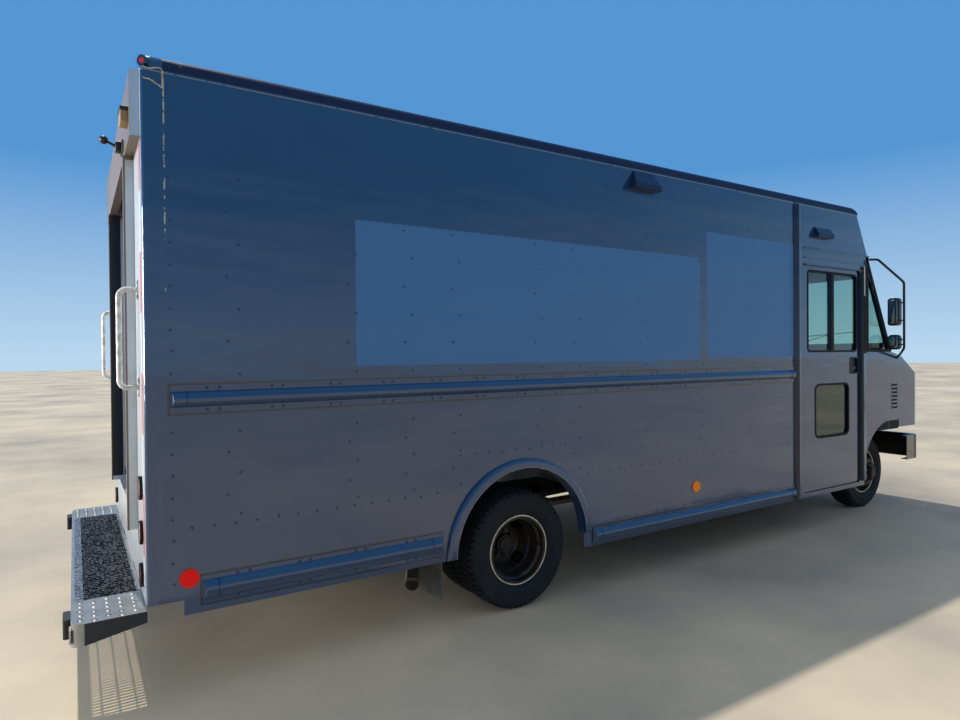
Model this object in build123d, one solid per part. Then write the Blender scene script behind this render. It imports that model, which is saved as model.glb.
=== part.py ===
from build123d import *
import math
import os

os.makedirs("parts", exist_ok=True)

# A walk-in step van: a riveted aluminium delivery body with a short nose, on a ladder frame
# with a beam front axle and twin rear wheels. Millimetres, +X forward, +Y left, +Z up.
# Lengths along the van are stations, counted forward from the body's rear face.

# Overall body
body_width = 2400.0
half = body_width / 2
skin = 4.0
wall_depth = 60.0
inner = half - wall_depth
origin_station = 3520.0
cant_z = 2920.0
crown_rise = 135.0
roof_corner = 70.0
bow_depth = 36.0
frame_depth = 90.0

# Wheels, tyres and tracks
wheelbase = 4521.0
rear_axle = 2105.0
front_axle = rear_axle + wheelbase
split_station = front_axle - 1550
tyre_radius = 372.5
tyre_width = 223.0
bead_radius = 203.0
rim_width = 165.0
flange_radius = 219.0
disc_offset = 133.5
disc_thickness = 7.0
hub_radius = 58.0
rear_tyre_inset = 30.0
front_track = 1770.0
twin_centre = half - rear_tyre_inset - tyre_width / 2 - disc_offset
front_wheel_y = front_track / 2
fit_gap = 0.3

# Ladder frame and floor
rail_web_y = 430.0
rail_flange = 65.0
rail_sheet = 6.0
rail_bottom = 530.0
rail_top = 700.0
floor_top = 760.0
floor_sheet = 15.0
floor_beam = 60.0
spring_width = 65.0
bay_gap = 10.0

# Side outline
corner_bottom = 487.0
rear_skirt_bottom = 414.0
front_skirt_bottom = 316.0
corner_length = 154.0
arch_radius = 500.0
arch_centre_z = 405.0
flare_width = 56.0
proud = 30.0
post_width = 40.0
post_pitch = 610.0

# Cab door, which slides back inside the body side
door_rear = front_axle - 1466
door_front = front_axle - 488
door_sill = 355.0
door_head = 2390.0
door_thickness = 34.0
door_slack = 10.0
door_face = half - skin - door_slack
door_inner = door_face - door_thickness
door_lap = 20.0
door_travel = 800.0
tongue = 6.0
tongue_slack = 0.4

# Raked front and nose
rake_foot = front_axle + 144
rake_foot_z = 1600.0
rake_head = front_axle - 514
rake_head_z = 2900.0
rake = (rake_foot - rake_head) / (rake_head_z - rake_foot_z)
pillar_depth = 40.0
nose_front = front_axle + 719
nose_bottom = 834.0
nose_corner = 130.0
nose_seam = front_axle + 260
fender_top = 1560.0
hood_half = 620.0
hood_rear = front_axle + 174
hood_front = front_axle + 614
hood_gap = 6.0
hinge_gap = 18.0

# Rear end
opening_half = 760.0
opening_top = cant_z - 300
sill_z = 750.0
step_depth = 290.0
step_half = half + 28
step_top = 478.0


def block(s0, s1, y0, y1, z0, z1):
    """A square block between two stations, two Y values and two heights."""
    centre = ((s0 + s1) / 2, (y0 + y1) / 2, (z0 + z1) / 2)
    return Pos(*centre) * Box(s1 - s0, y1 - y0, z1 - z0)


def face_of(points):
    """The flat face inside a closed outline of straight lines."""
    return make_face(Polyline(*points, close=True))


def across(face, y0, y1):
    """A side-view face (station, height) given a thickness from y0 to y1."""
    return extrude(Plane.XZ.offset(-y1) * face, y1 - y0)


def along(face, s0, s1):
    """A rear-view face (Y, height) run along the van between two stations."""
    return extrude(Plane.YZ.offset(s0) * face, s1 - s0)


def upward(face, z0, z1):
    """A plan-view face (station, Y) raised between two heights."""
    return extrude(Plane.XY.offset(z0) * face, z1 - z0)


def rounded(s0, s1, z0, z1, radius):
    """A rounded rectangle drawn in side or rear view."""
    centre = Pos((s0 + s1) / 2, (z0 + z1) / 2)
    return centre * RectangleRounded(s1 - s0, z1 - z0, radius)


def both(shape):
    """The piece and its mirror image on the other side of the van."""
    return shape + mirror(shape, about=Plane.XZ)


def bar(start, end, radius):
    """A round bar between two points."""
    line = Line(start, end)
    return extrude(Plane(start, z_dir=line % 0) * Circle(radius), line.length)


def pipe(points, radius, bend):
    """A round tube bent along straight runs."""
    path = FilletPolyline(*points, radius=bend)
    return sweep(Plane(path @ 0, z_dir=path % 0) * Circle(radius), path=path)


def save(name, shape):
    """Write one piece, moved from stations to the origin under the middle of the van."""
    export_step(Pos(-origin_station, 0, 0) * shape, "parts/" + name + ".step")


def rake_station(height):
    """Station of the raked windscreen face at a height."""
    return rake_foot - (height - rake_foot_z) * rake


# Wheels


def tyre():
    """One tyre about the Y axis: flat tread, cut shoulders, leaning walls and a bead seat."""
    bead, wall = rim_width / 2 - 0.5, tyre_width / 2
    half_outline = [
        (bead_radius, bead), (flange_radius + 2, bead), (bead_radius + 72, wall),
        (tyre_radius - 62, wall), (tyre_radius - 18, wall - 11), (tyre_radius - 1, wall - 28),
    ]
    middle = [(tyre_radius, wall - 52), (tyre_radius, 52 - wall)]
    mirrored = [(radius, -out) for radius, out in reversed(half_outline)]
    return revolve(face_of(half_outline + middle + mirrored), Axis.Y)


def rim(dish):
    """A pressed steel wheel about the Y axis; dish is the side its disc is set to."""
    edge, seat, well = rim_width / 2, bead_radius - 0.2, bead_radius - 15
    lip, sheet = 7.5, 5.0
    barrel = [
        (flange_radius, -edge - lip), (flange_radius, -edge), (seat, -edge), (seat, -50),
        (well, -40), (well, 40), (seat, 50), (seat, edge), (flange_radius, edge),
        (flange_radius, edge + lip), (seat - sheet, edge + lip), (seat - sheet, 52),
        (well - sheet, 42), (well - sheet, -42), (seat - sheet, -52), (seat - sheet, -edge - lip),
    ]
    face, back = disc_offset - disc_thickness, disc_offset
    if dish > 0:
        face, back = disc_offset + disc_thickness, disc_offset
    near, far = min(face, back), max(face, back)
    disc = [
        (well - 2, 8), (well - 2, 36), (172, 52), (146, far - 12), (122, far), (hub_radius + 1, far),
        (hub_radius + 1, near), (124, near), (139, near - 14), (166, 46), (178, 30), (178, 8),
    ]
    turned = revolve(face_of(barrel), Axis.Y)
    bowl = revolve(face_of([(r, dish * y) for r, y in disc]), Axis.Y)
    for turn in range(4):
        hole = Rot(0, 0, 45 + 90 * turn) * Pos(0, 152) * SlotOverall(78, 36)
        bowl -= across(hole, -disc_offset - 30, disc_offset + 30)
    return turned + bowl


def tube_y(radius, y0, y1, bore=0):
    """A turned collar about the Y axis, from y0 to y1."""
    ring = Circle(radius) - Circle(bore) if bore else Circle(radius)
    return across(ring, y0, y1)


spindle_radius = 22.0
axle_radius = 45.0
drum_radius = 160.0
hub_face = front_wheel_y + disc_offset


def rear_pair():
    """Outer and inner wheel bolted back to back on one hub with its brake drum."""
    outer = Pos(0, twin_centre + disc_offset, 0) * rim(-1)
    inside = Pos(0, twin_centre - disc_offset, 0) * rim(1)
    sheet = disc_thickness
    hub = tube_y(hub_radius, twin_centre - 90, twin_centre + 70)
    hub += tube_y(hub_radius - 14, twin_centre + 70, twin_centre + 82)
    hub += tube_y(108, twin_centre - 2 * sheet - 20, twin_centre - sheet)
    drum = tube_y(drum_radius, twin_centre - 150, twin_centre - 2 * sheet - 20, drum_radius - 12)
    hub += drum + tube_y(drum_radius, twin_centre - 2 * sheet - 28, twin_centre - 2 * sheet - 18)
    hub -= tube_y(axle_radius + fit_gap, twin_centre - 200, twin_centre - 40)
    return outer + inside + hub


def front_rim():
    """A front wheel with its disc set outward, on a hub with a brake disc."""
    wheel = Pos(0, front_wheel_y, 0) * rim(1)
    hub = tube_y(hub_radius, hub_face - 140, hub_face + 52)
    hub += tube_y(hub_radius - 16, hub_face + 52, hub_face + 62)
    hub += tube_y(108, hub_face - 20, hub_face)
    hub += tube_y(150, hub_face - 138, hub_face - 114)
    hub -= tube_y(spindle_radius + fit_gap, hub_face - 200, hub_face - 30)
    return wheel + hub


rear_place = Pos(rear_axle, 0, tyre_radius)
front_place = Pos(front_axle, 0, tyre_radius)
twin_tyres = Pos(0, twin_centre + disc_offset, 0) * tyre()
twin_tyres += Pos(0, twin_centre - disc_offset, 0) * tyre()
wheel_nodes = [
    # name, place, shape on the left side
    ("tyres_rear", rear_place, twin_tyres),
    ("rims_rear", rear_place, rear_pair()),
    ("tyre_front", front_place, Pos(0, front_wheel_y, 0) * tyre()),
    ("rim_front", front_place, front_rim()),
]
for name, place, shape in wheel_nodes:
    placed = place * shape
    save(name + "_left", placed)
    save(name + "_right", mirror(placed, about=Plane.XZ))

# Front axle, knuckles and tie rod

king_y = front_wheel_y - 115
king_radius = 15.0
eye_radius = 32.0
eye_bottom = tyre_radius - 50
eye_top = tyre_radius + 50
beam_low = 255.0
beam_deep = 75.0
beam_half = 35.0
arm_reach = 170.0
lug = 24.0
lug_gap = 1.0
pin_radius = 9.0


def front_beam():
    """A forged I-beam, dropped between the springs, with a kingpin eye at each end."""
    low, high = beam_low, beam_low + beam_deep
    end_low, end_high = eye_bottom + 18, eye_top - 18
    outline = [(-king_y, end_low), (-700, end_low), (-580, low), (580, low), (700, end_low)]
    outline += [(king_y, end_low), (king_y, end_high), (680, end_high), (560, high)]
    outline += [(-560, high), (-680, end_high), (-king_y, end_high)]
    beam = along(face_of(outline), front_axle - beam_half, front_axle + beam_half)
    waist = face_of([(-540, low + 16), (540, low + 16), (540, high - 16), (-540, high - 16)])
    for start in (front_axle - beam_half, front_axle + beam_half - 22):
        beam -= along(waist, start, start + 22)
    eye = upward(Circle(eye_radius), eye_bottom, eye_top)
    bore = upward(Circle(king_radius + fit_gap), eye_bottom, eye_top)
    for side in (-1, 1):
        beam += Pos(front_axle, side * king_y, 0) * eye
        beam -= Pos(front_axle, side * king_y, 0) * bore
    return beam


def knuckle():
    """The left steering fork with kingpin, spindle and rearward steering arm."""
    low, high = eye_bottom - lug_gap, eye_top + lug_gap
    cheek = Circle(eye_radius) + Pos(0, 20) * Rectangle(2 * eye_radius - 8, 56)
    fork = upward(cheek, low - lug, low) + upward(cheek, high, high + lug)
    fork += block(-28, 28, 36, 56, low - lug, high + lug)
    fork += upward(Circle(king_radius), low - lug, high + lug)
    arm = Pos(-arm_reach / 2, 0) * SlotOverall(arm_reach + 44, 44)
    fork += upward(arm, low - lug, low - 6)
    fork += upward(Pos(-arm_reach, 0) * Circle(pin_radius), low - lug - 32, low - lug)
    spindle_end = hub_face - 40 - king_y
    fork += Pos(0, 0, tyre_radius) * tube_y(spindle_radius, 56, spindle_end)
    return Pos(front_axle, king_y, 0) * fork


def tie_rod():
    """The rod between both steering arms, with an eye under each arm."""
    top = eye_bottom - lug_gap - lug - 4
    eye = Circle(20) - Circle(pin_radius + fit_gap)
    rod = bar((0, -king_y + 15, top - 12), (0, king_y - 15, top - 12), 13)
    for side in (-1, 1):
        rod -= upward(Pos(0, side * king_y) * Circle(pin_radius + fit_gap), top - 30, top + 5)
        rod += upward(Pos(0, side * king_y) * eye, top - 24, top)
    return Pos(front_axle - arm_reach, 0, 0) * rod


save("front_axle", front_beam())
save("knuckle_left", knuckle())
save("knuckle_right", mirror(knuckle(), about=Plane.XZ))
save("tie_rod", tie_rod())

# Rear axle, springs and drive shaft

spring_inner = rail_web_y + bay_gap
spring_outer = spring_inner + spring_width
rear_seat_z = tyre_radius + axle_radius + 15
front_seat_z = beam_low + beam_deep
leaf = 12.0
spring_table = [
    # station, seat height, half length, rise, leaves
    (rear_axle, rear_seat_z, 700.0, 70.0, 5),
    (front_axle, front_seat_z, 610.0, 80.0, 4),
]
eye_size = 22.0
shaft_z = 500.0
engine_rear = front_axle - 226


def leaf_spring(station, seat, reach, rise, leaves):
    """A leaf pack: each leaf is an arc, the longest on top with an eye at each end."""
    pack = None
    for number in range(leaves):
        share = 1 - 0.17 * (leaves - 1 - number)
        run, lift, z = reach * share, rise * share**2, seat + number * leaf
        under = ThreePointArc((-run, z + lift), (0, z), (run, z + lift))
        over = ThreePointArc((-run, z + lift + leaf), (0, z + leaf), (run, z + lift + leaf))
        ends = [Line(under @ 0, over @ 0), Line(under @ 1, over @ 1)]
        one = across(make_face([under, over] + ends), spring_inner, spring_outer)
        pack = one if pack is None else pack + one
    eye_z = seat + leaves * leaf + rise
    for side in (-1, 1):
        pack += across(Pos(side * reach, eye_z) * Circle(eye_size), spring_inner, spring_outer)
    clamp = block(-60, 60, spring_inner, spring_outer, seat + leaves * leaf, seat + leaves * leaf + 14)
    return Pos(station, 0, 0) * (pack + clamp)


springs = None
for row in spring_table:
    pair = both(leaf_spring(*row))
    springs = pair if springs is None else springs + pair
save("springs", springs)


def rear_beam():
    """A round axle tube with its gear housing, spring pads and brake plates."""
    tube = tube_y(axle_radius, -(twin_centre - 48), twin_centre - 48)
    housing = Sphere(165) & Box(240, 330, 330)
    cover = Pos(-118, 0, 0) * Rot(0, -90, 0) * Cone(130, 90, 45, align=(Align.CENTER, Align.CENTER, Align.MIN))
    nose = Pos(110, 0, 0) * Rot(0, 90, 0) * Cone(95, 52, 150, align=(Align.CENTER, Align.CENTER, Align.MIN))
    pad = block(-60, 60, spring_inner, spring_outer, 0, axle_radius + 15)
    plate = tube_y(drum_radius + 4, twin_centre - 160, twin_centre - 154)
    return rear_place * (tube + housing + cover + nose + both(pad + plate))


save("rear_axle", rear_beam())
pinion = rear_axle + 260
shaft = bar((pinion, 0, tyre_radius), (engine_rear, 0, shaft_z), 38)
shaft += bar((pinion, 0, tyre_radius), (pinion + 70, 0, tyre_radius + 2), 50)
shaft -= block(pinion - 80, pinion, -100, 100, 200, 600)
shaft -= block(engine_rear, engine_rear + 80, -100, 100, 300, 700)
save("drive_shaft", shaft)

# Ladder frame


def frame_rails():
    """Two pressed channel rails, open towards each other."""
    web, edge = rail_web_y, rail_web_y - rail_flange
    channel = Pos((web + edge) / 2, (rail_top + rail_bottom) / 2)
    channel *= Rectangle(rail_flange, rail_top - rail_bottom)
    hollow = Pos((web + edge) / 2 - rail_sheet, (rail_top + rail_bottom) / 2)
    hollow *= Rectangle(rail_flange, rail_top - rail_bottom - 2 * rail_sheet)
    front_end = bumper_front - bumper_sheet
    return both(along(channel - hollow, 30, front_end))


def cross_members():
    """Channel cross members riveted between the rails' webs, and the radiator's support."""
    members = None
    deep, inside = 120.0, rail_web_y - rail_sheet
    low = (rail_top + rail_bottom - deep) / 2
    beam = face_of([(-35, low), (35, low), (35, low + 6), (-29, low + 6), (-29, low + deep - 6),
                    (35, low + deep - 6), (35, low + deep), (-35, low + deep)])
    for station in (230, 700, 1640, 2560, 3350, 4300, front_axle - 1326):
        one = Pos(station, 0, 0) * across(beam, -inside, inside)
        members = one if members is None else members + one
    return members + block(radiator_rear - 10, radiator_rear + 70, -inside, inside, 560, radiator_bottom)


bumper_front = front_axle + 734
bumper_sheet = 6.0
radiator_rear = front_axle + 589
radiator_bottom = 640.0
save("frame_rails", frame_rails())
save("cross_members", cross_members())


def spring_hangers():
    """Eight cast brackets on the rail webs, each with a boss over its spring eye."""
    hangers = None
    for station, seat, reach, rise, leaves in spring_table:
        eye_z = seat + leaves * leaf + rise
        for side in (-1, 1):
            place = station + side * reach
            plan = [(place - 38, rail_bottom + 96), (place - 26, eye_z), (place + 26, eye_z), (place + 38, rail_bottom + 96)]
            bracket = across(face_of(plan), rail_web_y, spring_inner)
            bracket += across(Pos(place, eye_z) * Circle(eye_size + 6), rail_web_y, spring_inner)
            hangers = bracket if hangers is None else hangers + bracket
    return both(hangers)


save("spring_hangers", spring_hangers())

# Engine, radiator, fuel tank and exhaust

engine_front = front_axle + 524
engine_half = 280.0
engine = block(engine_rear, engine_front, -engine_half, engine_half, 440, 1180)
engine = chamfer(engine.edges().filter_by(Axis.X), 60)
mount = block(front_axle + 204, front_axle + 304, engine_half - 20, rail_web_y - rail_sheet, 590, 650)
save("engine", engine + both(mount))
radiator_half = rail_web_y - rail_flange - bay_gap
radiator = block(radiator_rear, radiator_rear + 60, -radiator_half, radiator_half, radiator_bottom, 1220)
save("radiator", radiator)

tank_half = rail_web_y - rail_flange
tank_face = rounded(-tank_half, tank_half, 380, 650, 60)
save("fuel_tank", along(tank_face, 800, 1520))

pipe_radius = 31.0
pipe_points = [
    (engine_rear + 60, -310, 480), (front_axle - 786, -310, 480),
    (front_axle - 1046, -570, 480), (4240, -570, 480),
]
tail_points = [
    (3560, -570, 480), (2780, -592, 480), (2560, -592, 590), (1760, -592, 590),
    (1480, -630, 430), (1430, -1000, 330), (1370, -1110, 305),
]
exhaust = pipe(pipe_points, pipe_radius, 120) + pipe(tail_points, pipe_radius, 70)
tip_line = Line(tail_points[-2], tail_points[-1])
tip_radius = 42.0
exhaust += bar(tip_line @ 0.2, tip_line @ 1.25, tip_radius)
exhaust -= bar(tip_line @ 0.5, tip_line @ 1.4, tip_radius - 4)
muffler = along(Pos(-570, 480) * Ellipse(120, 85), 3540, 4260)
exhaust += muffler + block(3700, 3740, -500, -rail_web_y, 500, 600)
exhaust += block(engine_rear + 20, engine_rear + 60, -330, -engine_half, 455, 505)
save("exhaust", exhaust)

# Floor with wheel boxes and step wells

wall_rear = front_axle - 1676
box_rear = rear_axle - 540
box_front = rear_axle + 540
box_inner = twin_centre - disc_offset - tyre_width / 2 - 40
box_top = 960.0
sheet = 4.0
well_front = front_axle - 516
well_inner = 800.0
well_rear = door_rear - 20
well_top = door_sill
tread_sheet = 15.0
house_inner = 560.0
house_top = 824.0
lip_top = 930.0
arch_rear = front_axle - 286
firewall = front_axle + 64
dog_rear = front_axle - 326
dog_half = 330.0
dog_top = 1254.0
post_front = front_axle - 359
track_outer = half - skin
track_inner = track_outer - 46
tongue_y = track_outer - 27


def tongue_cut(s0, s1, z0, z1):
    """The groove that the cab door's edge tongue runs in."""
    reach = tongue / 2 + tongue_slack
    return block(s0, s1, tongue_y - reach, tongue_y + reach, z0, z1)


def wheel_box():
    """The left rear wheel box: sheet walls over the twin tyres, open below."""
    shell = block(box_rear, box_front, box_inner, inner, rail_top, box_top)
    shell -= block(box_rear + sheet, box_front - sheet, box_inner + sheet, inner - sheet,
                   rail_top - 1, box_top - sheet)
    return shell - across(Pos(rear_axle, arch_centre_z) * Circle(arch_radius), inner - 20, inner + 5)


def step_well():
    """The left entry step: tread, risers and the lower track of the sliding door."""
    well = block(well_rear, well_front, well_inner, track_outer, well_top - tread_sheet, well_top)
    well += block(door_rear - door_lap - door_travel - 40, door_front, track_inner, track_outer,
                  well_top - tread_sheet, well_top)
    well -= tongue_cut(0, door_front, well_top - 10, well_top)
    top = floor_top - floor_sheet
    well += block(well_rear, well_front, well_inner - sheet, well_inner, well_top - tread_sheet, top)
    well += block(well_rear - sheet, well_rear, well_inner - sheet, inner, well_top - tread_sheet, top)
    well += block(well_front, well_front + sheet, house_inner, inner, well_top - tread_sheet, house_top)
    return well


def front_house():
    """The left front wheel housing: a flat top, an inner wall and a lip behind the arch."""
    house = block(well_front, nose_seam, house_inner, half - skin, house_top - sheet, house_top)
    house += block(arch_rear, nose_seam, half - skin - sheet, half - skin, house_top - sheet, lip_top)
    house -= block(firewall, firewall + sheet, inner, half, house_top, lip_top + 1)
    house -= block(door_front - 40, post_front, inner, half, house_top - 10, house_top + 1)
    house += block(well_front, nose_seam, house_inner - sheet, house_inner, rail_top, house_top)
    return house


def bearers(plate, start, end):
    """The floor's plate with the cross bearers that lie under it."""
    for station in range(160, int(well_front), 686):
        if start <= station < end:
            plate += block(station, station + floor_beam, -inner, inner, rail_top, floor_top - 1)
    return plate


def cargo_floor():
    """The plated cargo floor on cross bearers, with both rear wheel boxes."""
    plate = block(frame_depth, wall_rear, -inner, inner, floor_top - floor_sheet, floor_top)
    plate = bearers(plate, frame_depth, wall_rear)
    hole = block(box_rear, box_front, box_inner, inner, rail_top - 1, floor_top + 1)
    return (plate - both(hole)) + both(wheel_box())


def cab_floor():
    """The cab floor from the bulkhead to the firewall, with entry steps and wheel housings."""
    plate = block(wall_rear, well_front, -inner, inner, floor_top - floor_sheet, floor_top)
    plate += block(well_front, firewall, sheet - house_inner, house_inner - sheet,
                   floor_top - floor_sheet, floor_top)
    plate -= block(dog_rear, firewall, -dog_half, dog_half, floor_top - 60, floor_top + 40)
    plate = bearers(plate, wall_rear, well_front)
    gap = block(well_rear, well_front, well_inner, inner, rail_top - 1, floor_top + 1)
    return (plate - both(gap)) + both(step_well() + front_house())


save("floor", cargo_floor())
save("cab_floor", cab_floor())

# Body sides


def arch_cut(radius, y0, y1):
    """The round-topped rear wheel opening, cut through between two Y values."""
    shape = Pos(rear_axle, arch_centre_z) * Circle(radius)
    shape += Pos(rear_axle, arch_centre_z - 150) * Rectangle(2 * radius, 300)
    return across(shape, y0, y1)


def side_panel():
    """The left cargo side: riveted skin on posts, sill, cant rail and the door pocket."""
    outline = [
        (frame_depth, corner_bottom), (corner_length, corner_bottom),
        (corner_length, rear_skirt_bottom), (rear_axle, rear_skirt_bottom),
        (rear_axle, front_skirt_bottom), (split_station, front_skirt_bottom),
        (split_station, cant_z), (frame_depth, cant_z),
    ]
    shell = across(face_of(outline), half - skin, half)
    pocket = door_rear - door_lap - door_travel - 10
    frame = block(frame_depth, pocket, inner, half - skin, rail_top, floor_top)
    frame += block(frame_depth, split_station, inner, half - skin, cant_z - 40, cant_z)
    frame += block(pocket - post_width, pocket, inner, half - skin, rear_skirt_bottom + 20, cant_z)
    station = 250.0
    while station < pocket - 2 * post_width:
        frame += block(station, station + post_width, inner, half - skin, rear_skirt_bottom + 6, cant_z)
        station += post_pitch
    frame += block(pocket - post_width, split_station, inner, inner + 3, rail_top, cant_z)
    frame += arch_cut(arch_radius + 6, inner, half - skin) & block(0, 4000, 0, half, rear_skirt_bottom, 2000)
    frame += block(corner_length, rear_axle, half - skin - 25, half - skin, rear_skirt_bottom, rear_skirt_bottom + 4)
    frame += block(rear_axle, split_station, half - skin - 25, half - skin, front_skirt_bottom, front_skirt_bottom + 4)
    return (shell + frame) - arch_cut(arch_radius, 0, half + 10)


def front_arch():
    """The front wheel opening in side view."""
    low, crown, flat = (front_axle - 414, 200), (front_axle - 273, 763), (front_axle + 134, 910)
    sides = [ThreePointArc((front_axle - 418, 300), crown, flat), Line(flat, (nose_seam + 1, 910))]
    sides += [Line((nose_seam + 1, 910), (nose_seam + 1, 200)), Line((nose_seam + 1, 200), low)]
    sides.append(Line(low, (front_axle - 418, 300)))
    return make_face(sides)


def behind_rake(setback):
    """Everything behind the raked front, set back by a distance along the van."""
    foot, head = rake_station(300) - setback, rake_station(3200) - setback
    return across(face_of([(3000, 300), (foot, 300), (head, 3200), (3000, 3200)]), 0, half + 200)


window_rear = front_axle - 356
window_low = 1616.0
drip_table = [
    # rear end, front end, height, depth
    (front_axle - 1433, front_axle - 330, 2538.0, 12.0),
    (front_axle - 1433, front_axle - 396, 2452.0, 12.0),
    (front_axle - 1433, front_axle - 477, 2393.0, 16.0),
]
louvre_rear = front_axle + 116
louvre_front = front_axle + 222
louvre_low = 1040.0
louvre_pitch = 38.0


def cab_side():
    """The left cab side: skin with door and quarter openings, front post and door track."""
    foot = rake_foot - pillar_depth
    head = rake_station(cant_z) - pillar_depth
    outline = [
        (split_station, front_skirt_bottom), (nose_seam, front_skirt_bottom), (nose_seam, fender_top),
        (foot, fender_top), (foot, rake_foot_z), (head, cant_z), (split_station, cant_z),
    ]
    shell = across(face_of(outline), half - skin, half)
    shell -= across(rounded(door_rear, door_front, door_sill, door_head, 40), 0, half + 10)
    window_top = rake_foot_z + (foot - window_rear) / rake
    window_foot = rake_station(window_low) - pillar_depth
    shell -= across(face_of([(window_rear, window_low), (window_foot, window_low),
                             (window_rear, window_top)]), 0, half + 10)
    post = block(door_front, post_front, inner, half - skin, front_skirt_bottom, cant_z)
    post += block(split_station, door_front, inner, half - skin, cant_z - 40, cant_z)
    track = block(door_rear - door_lap - door_travel - 10, door_front, track_inner, track_outer,
                  door_head + 12, door_head + 50)
    track -= tongue_cut(0, front_axle + 374, door_head, door_head + 44)
    side = shell + ((post & behind_rake(pillar_depth)) + track)
    foot_low = front_skirt_bottom
    side += block(split_station, front_axle - 426, half - skin - 25, half - skin, foot_low, foot_low + 4)
    for start, end, height, deep in drip_table:
        drip = face_of([(half, height - 7), (half + deep, height - 7), (half + deep, height - 3), (half, height + 7)])
        side += along(drip, start, end)
    for number in range(7):
        z = louvre_low + number * louvre_pitch
        side -= block(louvre_rear, louvre_front, half - skin - 1, half + 1, z - 10, z + 10)
    return side - across(front_arch(), 0, half + 10)


for name, shape in (("side", side_panel()), ("cab_side", cab_side())):
    save(name + "_left", shape)
    save(name + "_right", mirror(shape, about=Plane.XZ))

# Cab doors and their glass

door_back = door_rear - door_lap
door_edge = door_front - 8
door_low = door_sill + 5
door_top = door_head + 6
upper_window = (front_axle - 1358, front_axle - 534, 1612.0, 2345.0, 45.0)
lower_window = (front_axle - 1242, front_axle - 673, 827.0, 1317.0, 70.0)
latch = (front_axle - 655, front_axle - 506, 1401.0, 1556.0, 18.0)
mid_bar = front_axle - 960
mid_half = 24.0


def cab_door():
    """The left sliding door: a flush panel with two windows, a latch pocket and edge tongues."""
    panel = across(rounded(door_back, door_edge, door_low, door_top, 30), door_inner, door_face)
    for window in (upper_window, lower_window):
        panel -= across(rounded(*window), door_inner - 5, door_face + 5)
    panel -= across(rounded(*latch), door_face - 22, door_face + 5)
    panel += block(front_axle - 626, front_axle - 526, door_face - 16, door_face - 8, 1440, 1470)
    panel += block(front_axle - 630, front_axle - 620, door_face - 23, door_face - 8, 1440, 1470)
    panel += block(mid_bar - mid_half, mid_bar + mid_half, door_inner, door_face, upper_window[2] - 2, upper_window[3] + 2)
    panel += block(door_back + 60, door_edge - 60, tongue_y - tongue / 2, tongue_y + tongue / 2,
                   door_top - 5, door_top + 28)
    panel += block(door_back + 60, door_edge - 60, tongue_y - tongue / 2, tongue_y + tongue / 2,
                   door_low - 11, door_low + 5)
    return panel


def door_glass():
    """The panes of the left sliding door, held in the window edges."""
    near, far = door_inner + 13, door_inner + 19
    glass = across(rounded(*upper_window), near, far) + across(rounded(*lower_window), near, far)
    return glass - block(mid_bar - mid_half, mid_bar + mid_half, near - 1, far + 1, upper_window[2] - 1, upper_window[3] + 1)


for name, shape in (("door", cab_door()), ("door_glass", door_glass())):
    save(name + "_left", shape)
    save(name + "_right", mirror(shape, about=Plane.XZ))

# Roof


def roof_solid(inset):
    """The crowned roof with its rounded front, taken in by an inset."""
    side, top = half - inset, cant_z + crown_rise - inset
    corner_z = cant_z + roof_corner - inset
    crown = ThreePointArc((-side + 50, corner_z), (0, top), (side - 50, corner_z))
    section = [crown]
    for hand in (-1, 1):
        section.append(Line((hand * side, cant_z - 60), (hand * side, cant_z + 25 - inset / 2)))
        section.append(ThreePointArc((hand * side, cant_z + 25 - inset / 2),
                                     (hand * (side - 15), corner_z - 15), (hand * (side - 50), corner_z)))
    section.append(Line((-side, cant_z - 60), (side, cant_z - 60)))
    head = rake_station(cant_z) - inset
    bend = ThreePointArc((front_axle - 926, top + 1), (front_axle - 666 - inset, top - 37), (head, cant_z))
    low = rake_station(cant_z - 60) - inset
    edges = [Line((0, top + 1), (front_axle - 926, top + 1)), bend, Line((head, cant_z), (low, cant_z - 60))]
    edges += [Line((low, cant_z - 60), (0, cant_z - 60)), Line((0, cant_z - 60), (0, top + 1))]
    return along(make_face(section), 0, front_axle - 426) & across(make_face(edges), -half, half)


roof_outer = roof_solid(0)
above = block(frame_depth, front_axle - 326, -half, half, cant_z, cant_z + 300)
roof_inner = roof_solid(skin)
bows = (roof_inner - roof_solid(skin + bow_depth)) & above
slabs = block(300, 300 + post_width, -half, half, cant_z, cant_z + 200)
for number in range(1, 9):
    station = 300 + number * 620
    slabs += block(station, station + post_width, -half, half, cant_z, cant_z + 200)
save("roof", ((roof_outer - roof_inner) & above) + (bows & slabs))

# Windscreen frame and cab glass

screen_low = 1680.0
screen_high = 2360.0
screen_outer = half - 50
screen_inner = 28.0
rake_length = math.hypot(1, rake)
screen_mid = (screen_low + screen_high) / 2
screen_plane = Plane(
    origin=(rake_station(screen_mid), 0, screen_mid),
    x_dir=(0, 1, 0),
    z_dir=(1 / rake_length, 0, rake / rake_length),
)


def screen_opening(start, end):
    """Both windscreen openings, between two depths from the raked face."""
    wide = screen_outer - screen_inner
    tall = (screen_high - screen_low) * rake_length
    sketch = Pos((screen_outer + screen_inner) / 2, 0) * RectangleRounded(wide, tall, 60)
    sketch += Pos(-(screen_outer + screen_inner) / 2, 0) * RectangleRounded(wide, tall, 60)
    return extrude(screen_plane.offset(start) * sketch, end - start)


def screen_frame():
    """The raked front of the cab, with rounded corner pillars and a centre pillar."""
    low, high = rake_station(rake_foot_z), rake_station(cant_z)
    outline = face_of([(low - pillar_depth, rake_foot_z), (low, rake_foot_z), (high, cant_z),
                       (high - pillar_depth, cant_z)])
    frame = across(outline, -half, half)
    corners = [edge for edge in frame.edges() if abs(edge.center().X - (low + high) / 2) < 5
               and abs(abs(edge.center().Y) - half) < 1]
    return fillet(corners, 32) - screen_opening(-80, 20)


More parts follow.
